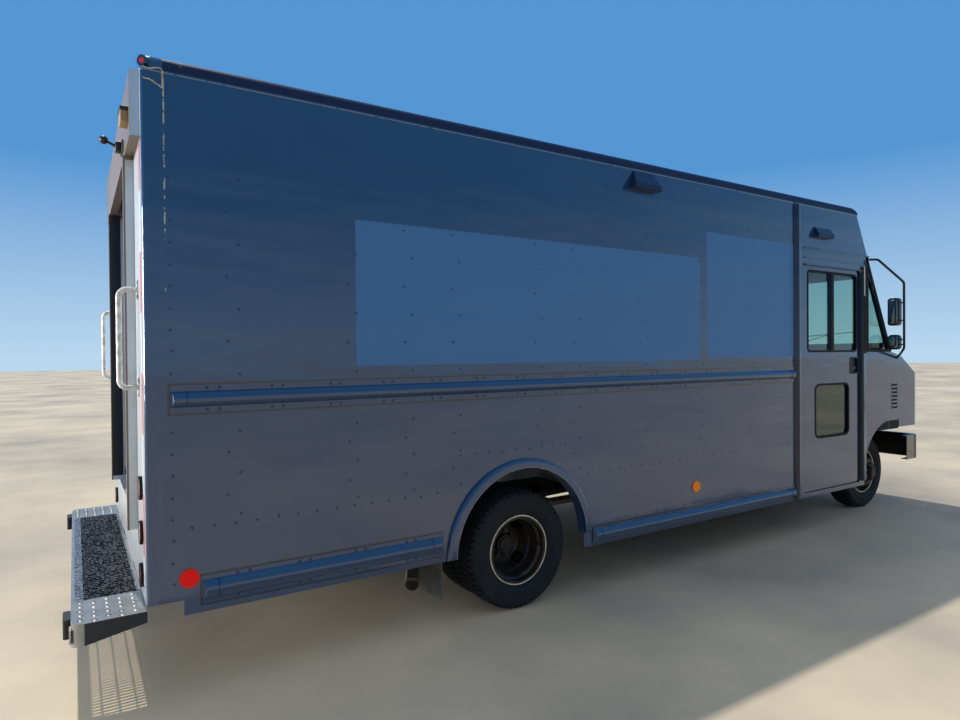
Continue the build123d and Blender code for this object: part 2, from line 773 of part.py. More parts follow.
quarter = face_of([(post_front, window_low), (rake_station(window_low) - pillar_depth, window_low),
                   (post_front, rake_foot_z + (rake_foot - pillar_depth - post_front) / rake)])
save("windscreen_frame", screen_frame())
save("cab_glass", screen_opening(-24, -18) + both(across(quarter, half - 24, half - 18)))

# Nose, hood, grille and headlamps

grille_half = 510.0
grille_low = 862.0
grille_high = 1232.0
lamp_inner = 610.0
lamp_outer = 930.0
lamp_low = 1040.0
lamp_high = 1222.0
turn_low = 940.0
turn_high = 1005.0
nose_sheet = 5.0


def nose_solid(inset):
    """The nose as one closed form: sloping top, upright front, round plan corners."""
    top = [(rake_foot - pillar_depth, rake_foot_z - inset), (rake_foot, rake_foot_z - inset),
           (front_axle + 322, 1553 - inset), (front_axle + 485, 1458 - inset),
           (front_axle + 642 - inset / 2, 1361 - inset)]
    side = top + [(nose_front - inset, 1292 - inset), (nose_front - inset, nose_bottom - 10),
                  (rake_foot - pillar_depth, nose_bottom - 10)]
    width = half - inset
    plan = Pos((rake_foot - pillar_depth + nose_front - inset) / 2, 0)
    plan *= Rectangle(nose_front - inset - rake_foot + pillar_depth, 2 * width)
    front_corners = plan.vertices().filter_by_position(Axis.X, nose_seam, nose_front + 1000)
    plan = fillet(front_corners, nose_corner - inset)
    return across(face_of(side), -half, half) & upward(plan, 700, 1700)


def lamp_pockets(start, end, gap=0.0):
    """The headlamp and turn lamp shapes on both sides of the front, taken in by a gap."""
    rows = [(lamp_inner, lamp_outer, lamp_low, lamp_high, 24),
            (lamp_inner + 20, lamp_outer - 20, turn_low, turn_high, 14)]
    shapes = [along(rounded(y0 + gap, y1 - gap, z0 + gap, z1 - gap, radius), start, end)
              for y0, y1, z0, z1, radius in rows]
    return both(shapes[0] + shapes[1])


nose_shell = nose_solid(0) - nose_solid(nose_sheet)
hood_area = block(hood_rear, hood_front, -hood_half, hood_half, 1250, 1700)
hinge_z = rake_foot_z - (hood_rear - rake_foot) * (rake_foot_z - 1553) / (front_axle + 322 - rake_foot) - 16
hinge_pin = 5.0
hinge_length = 60.0


def nose():
    """The fixed nose shell with its front openings, firewall and hood hinge lugs."""
    shell = nose_shell - block(front_axle - 26, nose_seam, -half - 5, half + 5, 700, fender_top)
    shell -= block(front_axle - 26, front_axle + 774, -half - 5, half + 5, 700, nose_bottom)
    shell -= block(hood_rear - hinge_gap, hood_front + hood_gap, -hood_half - hood_gap,
                   hood_half + hood_gap, 1250, 1700)
    shell -= along(rounded(-grille_half, grille_half, grille_low, grille_high, 30), nose_front - 145, nose_front + 55)
    shell -= lamp_pockets(nose_front - 145, nose_front + 55)
    low = house_top
    wall = block(firewall, firewall + sheet, sheet - half, half - sheet, low, rake_foot_z - nose_sheet)
    wall += block(firewall, firewall + sheet, sheet - house_inner, house_inner - sheet, floor_top, low)
    wall -= block(firewall - 5, firewall + 20, -dog_half, dog_half, 700, dog_top)
    shell += wall
    for side in (-1, 1):
        place = side * (hood_half - 120)
        for end in (-1, 1):
            lug_y = place + end * (hinge_length / 2 + 4)
            plate = block(hood_rear - 50, hood_rear, lug_y - 3, lug_y + 3, hinge_z - 8, hinge_z)
            plate += Pos(hood_rear, 0, hinge_z) * tube_y(8, lug_y - 3, lug_y + 3)
            plate += block(hood_rear - 50, hood_rear - 30, lug_y - 3, lug_y + 3, hinge_z - 8, hinge_z + 22)
            shell += plate
        shell += Pos(hood_rear, 0, hinge_z) * tube_y(hinge_pin, place - hinge_length / 2 - 6, place + hinge_length / 2 + 6)
    return shell


def hood():
    """The lifting hood panel with two hinge barrels at its rear edge."""
    panel = nose_shell & hood_area
    for side in (-1, 1):
        place = side * (hood_half - 120)
        y0, y1 = place - hinge_length / 2, place + hinge_length / 2
        leafs = Pos(hood_rear, 0, hinge_z) * tube_y(9, y0, y1)
        leafs += block(hood_rear, hood_rear + 26, y0, y1, hinge_z, hinge_z + 9)
        leafs += block(hood_rear + 8, hood_rear + 26, y0, y1, hinge_z, hinge_z + 11)
        panel += leafs - Pos(hood_rear, 0, hinge_z) * tube_y(hinge_pin + fit_gap, y0, y1)
    return panel


save("nose", nose())
save("hood", hood())


def grille():
    """A surround with straight horizontal bars and two uprights."""
    outer = rounded(-grille_half, grille_half, grille_low, grille_high, 30)
    hole = rounded(-grille_half + 22, grille_half - 22, grille_low + 22, grille_high - 22, 14)
    frame = along(outer - hole, nose_front - 30, nose_front + 6)
    tall = grille_high - grille_low - 44
    count = 8
    for number in range(count):
        z = grille_low + 22 + tall * (number + 0.5) / count
        frame += block(nose_front - 26, nose_front, -grille_half + 20, grille_half - 20, z - 8, z + 8)
    for y in (-170, 170):
        frame += block(nose_front - 30, nose_front - 20, y - 6, y + 6, grille_low + 20, grille_high - 20)
    return frame


save("grille", grille())
save("headlamps", lamp_pockets(nose_front - 60, nose_front + 8, fit_gap))

engine_cover = block(dog_rear, firewall + sheet, -dog_half, dog_half, floor_top - floor_sheet, dog_top)
engine_cover -= block(dog_rear + sheet, firewall + 10, -dog_half + sheet, dog_half - sheet, 700, dog_top - sheet)
engine_cover = engine_cover - block(firewall, firewall + 10, -dog_half - 1, dog_half + 1, 700, dog_top + 1)
save("engine_cover", engine_cover)

# Bumpers


def front_bumper():
    """A pressed channel bumper with both ends wrapped back."""
    reach, radius = 310.0, 140.0
    ends = (bumper_front - 160, bumper_front + 40)
    outline = Pos(bumper_front - reach / 2, 0) * Rectangle(reach, body_width + 10)
    outline = fillet(outline.vertices().filter_by_position(Axis.X, *ends), radius)
    inside = Pos(bumper_front - bumper_sheet - reach / 2, 0)
    inside *= Rectangle(reach, body_width + 10 - 2 * bumper_sheet)
    inside = fillet(inside.vertices().filter_by_position(Axis.X, *ends), radius - bumper_sheet)
    web = upward(outline - inside, 482, 725)
    lips = Pos(bumper_front - 60 - reach / 2, 0) * Rectangle(reach, body_width - 110)
    lips = fillet(lips.vertices().filter_by_position(Axis.X, *ends), radius - 50)
    ring = outline - lips
    recess = block(bumper_front - 270, bumper_front - 5, -430, 430, 527, 703)
    return web + upward(ring, 482, 487) + upward(ring, 720, 725) - recess


save("front_bumper", front_bumper())

grate_half = step_half - 313
grate_pitch = 30.0
step_rear_low = 373.0
step_front_low = 428.0


def rear_step():
    """The rear step bumper: sheet ends, smooth rear edge and an open bar grating."""
    side = face_of([(-step_depth, step_rear_low), (0, step_front_low), (0, step_top), (-step_depth, step_top)])
    plan = Pos(-step_depth / 2, 0) * Rectangle(step_depth, 2 * step_half)
    plan = fillet(plan.vertices().filter_by_position(Axis.X, -400, -200), 60)
    step = across(side, -step_half, step_half) & upward(plan, 300, 500)
    step -= block(-step_depth + 50, -20, -grate_half, grate_half, 300, 600)
    hollow = face_of([(-step_depth + 6, 300), (-4, 300), (-4, step_top - 5), (-step_depth + 6, step_top - 5)])
    for y0, y1 in ((-step_half + 6, -grate_half - 5), (grate_half + 5, step_half - 6)):
        step -= across(hollow, y0, y1) & upward(offset(plan, -6), 200, 600)
    step -= block(-step_depth + 6, -step_depth + 45, -grate_half - 6, grate_half + 6, 300, step_top - 5)
    count = int(2 * grate_half / grate_pitch)
    for number in range(count):
        y = -grate_half + (number + 0.5) * 2 * grate_half / count
        step += block(-step_depth + 49, -19, y - 2.5, y + 2.5, step_top - 30, step_top - 2)
    for station in (-200, -130, -60):
        step += block(station - 4, station + 4, -grate_half - 1, grate_half + 1, step_top - 22, step_top - 12)
    arm = face_of([(-20, 430), (60, 400), (360, 400), (360, rail_bottom), (95, rail_bottom), (95, 470), (-20, 470)])
    edge = rail_web_y - rail_flange
    return step + both(across(arm, edge + 6, rail_web_y - 6) - block(-500, -19, 0, 2000, 0, 2000))


save("rear_step", rear_step())
stop = upward(Pos(-step_depth - 15, step_half - 170) * RectangleRounded(30, 120, 12), 385, 470)
save("step_stops", both(stop))

# Rear frame, roll-up door and handles

jamb = 40.0
header_half = half - 50
header_proud = 40.0
cap_radius = 55.0
post_radius = 15.0
raised = 48.0
apron = 6.0


def rounded_rear(radius):
    """The rear frame's plan, with round outer corners at the rear."""
    plan = Pos(frame_depth / 2, 0) * Rectangle(frame_depth, body_width)
    return fillet(plan.vertices().filter_by_position(Axis.X, -1, 1), radius)


def rear_frame():
    """The rear corner posts, header and sill, with a raised jamb around the opening."""
    ring = roof_outer & upward(rounded_rear(cap_radius), cant_z, cant_z + 200)
    ring += upward(rounded_rear(post_radius), corner_bottom, cant_z)
    ring = ring - block(-1, frame_depth + 1, -opening_half, opening_half, sill_z, opening_top)
    ring -= block(apron, frame_depth + 1, -half + 120, half - 120, corner_bottom - 1, sill_z - 50)
    ring -= block(6, frame_depth + 1, -opening_half, opening_half, opening_top, cant_z - 40)
    edge = opening_half + jamb
    for side in (-1, 1):
        y0, y1 = sorted((side * opening_half, side * edge))
        ring += block(-raised, 0, y0, y1, sill_z, opening_top)
    ring += block(-header_proud, 0, -header_half, header_half, opening_top, cant_z)
    return ring


save("rear_frame", rear_frame())

slat = 62.0
curtain = 20.0


def roll_door():
    """The roll-up door: a curtain of bowed slats with a bottom rail and pull handle."""
    rear_face = 34.0
    door = block(rear_face, rear_face + curtain, -opening_half, opening_half, sill_z + 90, opening_top)
    groove = face_of([(rear_face - 1, -7), (rear_face + 7, 0), (rear_face - 1, 7)])
    z = sill_z + 90 + slat
    while z < opening_top:
        door -= across(Pos(0, z) * groove, -opening_half - 1, opening_half + 1)
        z += slat
    door += block(rear_face - 6, rear_face + curtain, -opening_half, opening_half, sill_z, sill_z + 90)
    handle = block(rear_face - 36, rear_face - 26, -90, 90, sill_z + 40, sill_z + 56)
    for y in (-80, 80):
        handle += block(rear_face - 30, rear_face - 5, y - 8, y + 8, sill_z + 40, sill_z + 56)
    return door + handle


save("rear_door", roll_door())
handle_y = half - 250
grab = pipe([(0, handle_y, 1470), (-82, handle_y, 1470), (-82, handle_y, 1940), (0, handle_y, 1940)], 13, 36)
for z in (1470, 1940):
    grab += bar((-5, handle_y, z), (0, handle_y, z), 30)
save("grab_handles", both(grab))

# Rub rails and wheel arch flares

rail_table = [
    # start, end, low, high of the flange, half height of the bulge
    (104.0, split_station - 41, 1353.0, 1484.0, 37.0),
    (233.0, 1523.0, 453.0, 586.0, 46.0),
    (2680.0, split_station - 41, 330.0, 440.0, 40.0),
]


def rub_rail(start, end, low, high, bulge):
    """A flanged aluminium rub rail with a round-nosed bulge."""
    mid = (low + high) / 2
    root = half + 4
    nose_arc = ThreePointArc((root, mid - bulge), (half + proud, mid), (root, mid + bulge))
    lines = [Line((half, low), (root, low)), Line((root, low), (root, mid - bulge)), nose_arc]
    lines += [Line((root, mid + bulge), (root, high)), Line((root, high), (half, high))]
    lines.append(Line((half, high), (half, low)))
    long = along(make_face(lines), start, end)
    cut = rail_slope
    plan = [(start, half - 1), (start, half + 6), (start + cut, half + proud + 1), (end - cut, half + proud + 1),
            (end, half + 6), (end, half - 1)]
    return long & upward(face_of(plan), low - 1, high + 1)


rail_slope = 16.0
divide_rear, divide_front = split_station - 41, split_station + 41
rails = None
for row in rail_table:
    one = rub_rail(*row)
    rails = one if rails is None else rails + one
divide = ThreePointArc((divide_rear, half), (split_station, half + proud), (divide_front, half))
divide_back = Line((divide_front, half), (divide_rear, half))
rails += upward(make_face([divide, divide_back]), front_skirt_bottom, cant_z - 20)
save("rub_rails", both(rails))


def arch_flare():
    """The rounded aluminium flare around the left rear wheel opening."""
    ring = arch_cut(arch_radius + flare_width, half, half + proud)
    ring &= block(0, 4000, half, half + proud, rear_skirt_bottom, 2000)
    ring = fillet(ring.faces().sort_by(Axis.Y)[-1].edges(), 24)
    return ring - arch_cut(arch_radius, half - 10, half + 100)


save("arch_flares", both(arch_flare()))

flap = block(1532, 1538, 684, half - skin - 28, 171, rail_top)
save("mud_flaps", both(flap))

# Bulkhead, seat, dashboard and steering wheel

wall_sheet = 24.0
way_half = 360.0
way_top = cant_z - 260
bulkhead = block(wall_rear, wall_rear + wall_sheet, -inner, inner, cant_z - 60, cant_z + crown_rise + 50)
bulkhead &= roof_solid(skin + fit_gap)
bulkhead += block(wall_rear, wall_rear + wall_sheet, -inner, inner, floor_top, cant_z - 50)
bulkhead -= along(rounded(-way_half, way_half, floor_top - 100, way_top, 60), wall_rear - 1, wall_rear + 50)
save("bulkhead", bulkhead)

seat_y = 470.0
seat_station = front_axle - 1026


def seat():
    """The driver's seat: pedestal, squab and leaning back."""
    post = block(seat_station - 150, seat_station + 150, seat_y - 150, seat_y + 150, floor_top, 1090)
    squab = across(rounded(seat_station - 240, seat_station + 260, 1090, 1210, 40), seat_y - 240, seat_y + 240)
    back = Pos(seat_station - 215, 0, 1210) * Rot(0, -10, 0)
    back *= across(rounded(-60, 60, -30, 640, 50), seat_y - 230, seat_y + 230)
    return post + squab + back


save("seat", seat())
dash_rear = front_axle - 186
dash = face_of([(firewall, dog_top), (firewall, 1580), (firewall - 130, 1580), (dash_rear, 1500),
                (dash_rear, 1330), (dash_rear + 60, dog_top)])
save("dashboard", across(dash, 20 - inner, inner - 20))

wheel_tilt = 58.0
wheel_ring = 215.0
wheel_grip = 13.0
column_front = dash_rear


def steering_wheel():
    """A thin-rimmed wheel with three spokes on its column."""
    grip = Plane.XZ * Pos(wheel_ring, 0) * RegularPolygon(wheel_grip, 10)
    wheel = revolve(grip, Axis.Z)
    for angle in (90, 210, 330):
        wheel += Rot(0, 0, angle) * Pos(wheel_ring / 2, 0, 0) * Box(wheel_ring, 26, 10)
    wheel += Cylinder(48, 30)
    wheel += Pos(0, 0, -110) * Cylinder(22, 220)
    wheel = Pos(front_axle - 358, seat_y, 1468) * Rot(0, -wheel_tilt, 0) * wheel
    return wheel - block(column_front, column_front + 400, seat_y - 300, seat_y + 300, 1000, 2000)


save("steering_wheel", steering_wheel())

# Mirrors

mirror_y = half + 155
head_inner = half + 15
head_outer = mirror_y - 35
arm_station = front_axle + 29


def mirror_arm():
    """The left mirror stay: a bent tube with a flat and a convex mirror head."""
    loop = [(front_axle - 321, half - 4, 2508), (front_axle - 281, half + 62, 2504),
            (arm_station, mirror_y, 2290), (arm_station, mirror_y, 1640),
            (front_axle + 144, half + 70, 1585), (front_axle + 224, half - 4, 1540)]
    stay = pipe(loop, 11, 40)
    stay -= block(front_axle - 626, front_axle + 374, 0, half, 1000, 3000)
    for low, high, radius in ((1866, 2140, 28), (1627, 1775, 38)):
        face = rounded(head_inner, head_outer, low, high, radius)
        stay += along(face, arm_station - 25, arm_station + 30)
        for z in (low + 50, high - 50):
            stay += block(arm_station - 6, arm_station + 6, head_outer - 10, mirror_y, z - 6, z + 6)
    return stay


save("mirrors", both(mirror_arm()))

# Lamps

tail_lamps = None
for z in (1000, 790, 590):
    lens = along(Pos(half - 160, z) * Circle(48), -14, 0)
    tail_lamps = lens if tail_lamps is None else tail_lamps + lens
marker_face = Plane(origin=(cap_radius, half - cap_radius, cant_z + 30), z_dir=(-1, 1, 0))
marker = extrude(marker_face.offset(cap_radius - 6) * Circle(25), 18)
marker -= upward(Pos(cap_radius, half - cap_radius) * Circle(cap_radius + fit_gap), cant_z, cant_z + 60)
tail_lamps += marker
rear_markers = both(tail_lamps)
for y in (-160, 0, 160):
    rear_markers += along(rounded(y - 45, y + 45, cant_z + 40, cant_z + 68, 10), -16, 0)
save("tail_lamps", rear_markers)

hood_side = [
    # station start and end, low and high, depth, upper narrowing
    (3044.0, 3317.0, cant_z - 147, cant_z - 19, 62.0, 40.0),
    (front_axle - 1276, front_axle - 1022, cant_z - 279, cant_z - 189, 46.0, 0.0),
]


def side_hood(start, end, low, high, deep, narrow):
    """A wedge-shaped lamp hood, deepest at its foot."""
    side = face_of([(half, low), (half + deep, low), (half + deep, low + 34), (half + 8, high), (half, high)])
    plan = face_of([(start, low), (end, low), (end - narrow, high), (start + narrow, high)])
    return along(side, start, end) & across(plan, half - 1, half + deep + 1)


hoods = None
for row in hood_side:
    one = side_hood(*row)
    hoods = one if hoods is None else hoods + one
hoods += across(Pos(178, 585) * Circle(43), half, half + 8)
hoods += across(Pos(3737, 591) * Circle(42), half, half + 8)
save("side_lamps", both(hoods))

front_markers = None
for y in (150 - half, -230, 0, 230, half - 150):
    lamp_plane = Plane(origin=(rake_station(cant_z - 160), 0, cant_z - 160), x_dir=(0, 1, 0), z_dir=screen_plane.z_dir)
    lens = extrude(lamp_plane * Pos(y, 0) * RectangleRounded(90, 36, 12), 22)
    front_markers = lens if front_markers is None else front_markers + lens
save("front_markers", front_markers)
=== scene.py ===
import math
import random
from functools import partial

import bmesh
import bpy
from mathutils import Matrix, Vector


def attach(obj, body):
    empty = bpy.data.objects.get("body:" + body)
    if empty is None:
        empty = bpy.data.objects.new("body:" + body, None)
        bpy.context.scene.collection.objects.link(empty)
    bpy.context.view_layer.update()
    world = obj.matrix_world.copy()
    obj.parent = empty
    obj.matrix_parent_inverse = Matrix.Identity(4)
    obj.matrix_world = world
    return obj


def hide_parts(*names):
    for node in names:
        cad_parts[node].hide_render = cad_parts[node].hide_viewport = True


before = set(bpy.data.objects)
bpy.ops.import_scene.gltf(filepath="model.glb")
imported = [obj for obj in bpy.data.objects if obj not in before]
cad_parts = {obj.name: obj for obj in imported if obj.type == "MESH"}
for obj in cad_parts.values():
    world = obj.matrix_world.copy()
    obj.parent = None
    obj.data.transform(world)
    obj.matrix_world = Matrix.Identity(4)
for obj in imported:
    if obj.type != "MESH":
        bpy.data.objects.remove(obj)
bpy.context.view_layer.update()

# Camera: a wide phone lens held at chest height behind the van's right rear corner,
# turned a third of the way from square-on towards the front.
eye = Vector((-3.782, -4.433, 1.617))
yaw, pitch, roll = 0.56578, -0.0093, -0.008375
view_width, sensor = 960, 36.0
focal_pixels = 638.6
look = Vector((math.cos(pitch) * math.sin(yaw), math.cos(pitch) * math.cos(yaw), math.sin(pitch)))
level = look.cross(Vector((0, 0, 1))).normalized()
upright = level.cross(look)
across_view = math.cos(roll) * level + math.sin(roll) * upright
up_view = math.cos(roll) * upright - math.sin(roll) * level
lens = bpy.data.cameras.new("photo_camera")
lens.sensor_width = sensor
lens.lens = focal_pixels / view_width * sensor
camera = bpy.data.objects.new("photo_camera", lens)
camera.matrix_world = Matrix.Translation(eye) @ Matrix((across_view, up_view, -look)).transposed().to_4x4()
bpy.context.scene.collection.objects.link(camera)
bpy.context.scene.camera = camera

# Chassis: pressed and riveted steel rails, beam axle, springs and tank, dipped in black
# chassis paint. It has gone satin and carries brown road dust in patches.


def linear(code):
    """An sRGB hex colour as linear values."""
    parts = [int(code[at:at + 2], 16) / 255 for at in (1, 3, 5)]
    return [v / 12.92 if v <= 0.04045 else ((v + 0.055) / 1.055) ** 2.4 for v in parts] + [1.0]


def set_inputs(made, values):
    """Give a node's inputs their numbers, hex colours, or links from sockets and nodes."""
    for name, value in values.items():
        if isinstance(value, bpy.types.Node):
            value = next(output for output in value.outputs if output.enabled)
        if isinstance(value, bpy.types.NodeSocket):
            made.id_data.links.new(value, made.inputs[name])
        else:
            made.inputs[name].default_value = linear(value) if isinstance(value, str) else value
    return made


def add_node(tree, kind, values, **settings):
    """One node with its settings, values and links."""
    made = tree.nodes.new("ShaderNode" + kind)
    for name, value in settings.items():
        setattr(made, name, value)
    return set_inputs(made, values)


def new_finish(name):
    """A finish, its surface node, what adds a node to it, and the object's coordinates."""
    material = bpy.data.materials.new(name)
    material.use_nodes = True
    tree = material.node_tree
    add = partial(add_node, tree)
    return material, tree.nodes["Principled BSDF"], add, add("TexCoord", {}).outputs["Object"]


def worn_finish(name, base, second, grain, rough, metal=0.0, bump=0.0004, blotch=3.0):
    """A finish that varies softly between two colours, with a fine surface grain."""
    material, surface, add, place = new_finish(name)
    patch = add("TexNoise", {"Vector": place, "Scale": blotch, "Detail": 8.0, "Roughness": 0.6})
    fine = add("TexNoise", {"Vector": place, "Scale": 1 / grain, "Detail": 4.0})
    spread = add("MapRange", {"Value": patch, "From Min": 0.38, "From Max": 0.68})
    colour = add("Mix", {0: spread, 6: base, 7: second}, data_type="RGBA")
    gloss = add("MapRange", {"Value": fine, "To Min": rough - 0.07, "To Max": rough + 0.1})
    relief = add("Bump", {"Height": fine, "Distance": bump, "Strength": 0.6})
    set_inputs(surface, {"Base Color": colour, "Roughness": gloss, "Metallic": metal, "Normal": relief})
    return material


def give(material, *nodes):
    """Put a finish on parts that keep their shape."""
    for name in nodes:
        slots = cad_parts[name].data.materials
        slots.clear()
        slots.append(material)


chassis_paint = worn_finish("chassis_paint", "#141517", "#3a352e", 0.004, 0.5)
give(chassis_paint, "frame_rails", "cross_members", "spring_hangers", "springs", "drive_shaft", "fuel_tank",
     "front_axle", "rear_axle")

# Engine, radiator and steering forgings: sand-cast and forged iron, bare and rusted to a
# dry brown, with a coarse grain.
cast_iron = worn_finish("cast_iron", "#26211e", "#4a3527", 0.003, 0.7, 0.3, 0.0008, 7.0)
give(cast_iron, "engine", "radiator", "knuckle_left", "knuckle_right", "tie_rod")

# Exhaust: aluminised steel pipe and silencer, dull grey with brown heat stains. Its wider
# tip opens just ahead of the mud flap.
exhaust_steel = worn_finish("aluminised_steel", "#9a9184", "#6b5138", 0.003, 0.42, 0.8, 0.0004, 5.0)
give(exhaust_steel, "exhaust")

# Tyres: moulded black rubber, all-season tread of five ribs cut by sipes, ribbed sidewalls
# greyed by road dust. Each stands for the plain tyre of the frame.
tyre_radius = 0.3725
tyre_steps = 168
groove = 0.009
tread_foot = 0.352
sipe_every, sipe_rim, sipe_deep = 3, 0.0016, 0.0065
tread_line = [
    # distance from the tyre's middle, depth under the crown: ribs and grooves
    (0.0, 0.0), (0.014, 0.0), (0.016, groove), (0.023, groove), (0.025, 0.0003), (0.047, 0.0009),
    (0.049, groove), (0.056, groove), (0.058, 0.0014), (0.084, 0.0045), (0.093, 0.012), (0.099, 0.022),
]
wall_line = [
    # radius, distance from the tyre's middle
    (0.343, 0.1035), (0.335, 0.1072), (0.333, 0.1062), (0.318, 0.1092), (0.316, 0.1082),
    (0.3, 0.1108), (0.285, 0.1112), (0.268, 0.1098), (0.266, 0.1086), (0.25, 0.1045),
    (0.236, 0.0975), (0.2335, 0.099), (0.229, 0.0965), (0.2225, 0.0865), (0.2195, 0.0822), (0.2045, 0.0818),
]
half_section = [(tyre_radius - 0.0003 - deep, out) for out, deep in tread_line] + wall_line
section = [(radius, -out) for radius, out in reversed(half_section)] + half_section[1:]

tyre_rubber, surface, add, place = new_finish("tyre_rubber")
dust = add("TexNoise", {"Vector": place, "Scale": 9.0, "Detail": 8.0, "Roughness": 0.65})
grain = add("TexNoise", {"Vector": place, "Scale": 420.0, "Detail": 3.0})
film = add("MapRange", {"Value": dust, "From Min": 0.42, "From Max": 0.75, "To Max": 0.7})
tone = add("Mix", {0: film, 6: "#0b0c0e", 7: "#242320"}, data_type="RGBA")
relief = add("Bump", {"Height": grain, "Distance": 0.0005, "Strength": 0.5})
set_inputs(surface, {"Base Color": tone, "Roughness": 0.78, "Normal": relief})


def finish_piece(build, name, material, body, smooth=True, bevel=0.0, angle=40):
    """Turn a built mesh into a named piece that rides on a body."""
    bmesh.ops.recalc_face_normals(build, faces=build.faces)
    mesh = bpy.data.meshes.new(name)
    build.to_mesh(mesh)
    build.free()
    made = bpy.data.objects.new(name, mesh)
    bpy.context.scene.collection.objects.link(made)
    if smooth:
        mesh.shade_smooth()
        mesh.set_sharp_from_angle(angle=math.radians(angle))
    mesh.materials.append(material)
    if bevel:
        edge = made.modifiers.new("soft_edge", "BEVEL")
        edge.width = bevel
        edge.segments = 2
        edge.limit_method = "ANGLE"
    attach(made, body)
    return made


def turned(build, outline, centre, steps, side=1):
    """Spin an outline of (radius, distance along the axle) round the wheel axle."""
    points = [build.verts.new((centre[0] + radius, centre[1] + side * out, centre[2])) for radius, out in outline]
    edges = [build.edges.new(pair) for pair in zip(points, points[1:])]
    bmesh.ops.spin(build, geom=points + edges, cent=centre, axis=(0, 1, 0), angle=math.tau, steps=steps,
                   use_merge=True, use_duplicate=False)
    bmesh.ops.remove_doubles(build, verts=build.verts, dist=0.00005)


def tyre(name, body, middle):
    """One tyre: spun section, with sipes pressed into the shoulder and centre ribs."""
    build = bmesh.new()
    turned(build, section, middle, tyre_steps)
    bmesh.ops.recalc_face_normals(build, faces=build.faces)
    centre = Vector(middle)
    blocks = []
    for face in build.faces:
        spot = face.calc_center_median() - centre
        radius, out = math.hypot(spot.x, spot.z), abs(spot.y)
        step = int(round(math.degrees(math.atan2(spot.z, spot.x)) / 360 * tyre_steps - 0.5))
        on_rib = 0.059 < out < 0.097 or 0.026 < out < 0.047 or out < 0.013
        if radius > tread_foot and on_rib and (step + (1 if out < 0.05 else 0)) % sipe_every == 0:
            blocks.append(face)
    bmesh.ops.inset_individual(build, faces=blocks, thickness=sipe_rim, depth=-sipe_deep, use_even_offset=True)
    made = finish_piece(build, name, tyre_rubber, body, angle=38)
    return made


wheel_z = tyre_radius
front_x, rear_x = 3.106, -1.415
front_tyre_y, twin_y, twin_half = 0.885, 0.925, 0.1335
sides = (("left", 1), ("right", -1))
for side, hand in sides:
    front = tyre("tyre_tread_front_" + side, "front_wheel_" + side, (front_x, hand * front_tyre_y, wheel_z))
    outer = tyre("tyre_tread_outer_" + side, "rear_wheels_" + side,
                 (rear_x, hand * (twin_y + twin_half), wheel_z))
    inside = tyre("tyre_tread_inner_" + side, "rear_wheels_" + side,
                  (rear_x, hand * (twin_y - twin_half), wheel_z))
    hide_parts("tyre_front_" + side)
    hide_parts("tyres_rear_" + side)
    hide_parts("tyres_rear_" + side)

# Wheels: pressed steel discs welded in rolled rims, painted dark and coated with brake dust
# and rust. The rim flange is rubbed to pale bare metal, and eight nuts hold each disc.
wheel_steel = worn_finish("wheel_steel", "#1c1b1b", "#4a3c30", 0.0025, 0.5, 0.4, 0.0005, 12.0)
rim_lip = worn_finish("rubbed_rim_lip", "#eadfc8", "#b39c78", 0.002, 0.36, 0.2, 0.0004, 14.0)
nut_steel = worn_finish("zinc_nuts", "#6d6a64", "#4a3b2e", 0.0015, 0.38, 0.9, 0.0002, 30.0)
lip_line = [(0.2125, 0.082), (0.2125, 0.0915), (0.214, 0.0927), (0.2182, 0.0927), (0.2202, 0.091),
            (0.2202, 0.0832)]
nut_circle, nut_radius, nut_length = 0.0825, 0.0155, 0.022
stud_radius, stud_proud = 0.008, 0.015
valve_out, disc_face = 0.178, 0.007
along_y = Matrix.Rotation(math.pi / 2, 4, "X")
for side in ("left", "right"):
    give(wheel_steel, "rim_front_" + side, "rims_rear_" + side)


def peg(build, spot, turn, corners, radius, length, tip=None, capped=True):
    """A nut, bolt, pin or ring standing at a spot, drawn in to its tip when that is given."""
    bmesh.ops.create_cone(build, cap_ends=capped, segments=corners, radius1=radius, radius2=tip or radius,
                          depth=length, matrix=Matrix.Translation(spot) @ turn)


def wheel_trim(name, body, middle_x, rim_y, nut_y, hand):
    """The rubbed rim flange, the ring of wheel nuts and the tyre valve."""
    build = bmesh.new()
    turned(build, lip_line, (middle_x, rim_y, wheel_z), 96, hand)
    finish_piece(build, "rim_lip_" + name, rim_lip, body, angle=50)
    build = bmesh.new()
    for number in range(8):
        angle = math.tau * (number + 0.5) / 8
        spot = (middle_x + nut_circle * math.cos(angle), nut_y + hand * nut_length / 2,
                wheel_z + nut_circle * math.sin(angle))
        peg(build, spot, along_y, 6, nut_radius, nut_length)
        peg(build, spot, along_y, 10, stud_radius, nut_length + 2 * stud_proud)
    peg(build, (middle_x + valve_out, rim_y + hand * 0.07, wheel_z), along_y, 10, 0.004, 0.06)
    finish_piece(build, "wheel_nuts_" + name, nut_steel, body, False, 0.0015)


for side, hand in sides:
    wheel_trim("front_" + side, "front_wheel_" + side, front_x, hand * front_tyre_y,
               hand * (front_tyre_y + twin_half + disc_face), hand)
    wheel_trim("rear_" + side, "rear_wheels_" + side, rear_x, hand * (twin_y + twin_half),
               hand * (twin_y + disc_face), hand)

# Wheel housings and entry steps: folded steel brushed with black rubbery underseal, which
# is lumpy and hardly shines.
underseal = worn_finish("black_underseal", "#0f0f10", "#242220", 0.005, 0.78, 0.0, 0.0012, 5.0)
give(underseal, "cab_floor")

# Cargo floor and bulkhead: mill-finish aluminium sheet, riveted down and dulled grey by feet
# and freight.
floor_sheet = worn_finish("floor_aluminium", "#a3a5a6", "#7d7f80", 0.0022, 0.42, 0.75, 0.0003, 6.0)
give(floor_sheet, "bulkhead", "floor")

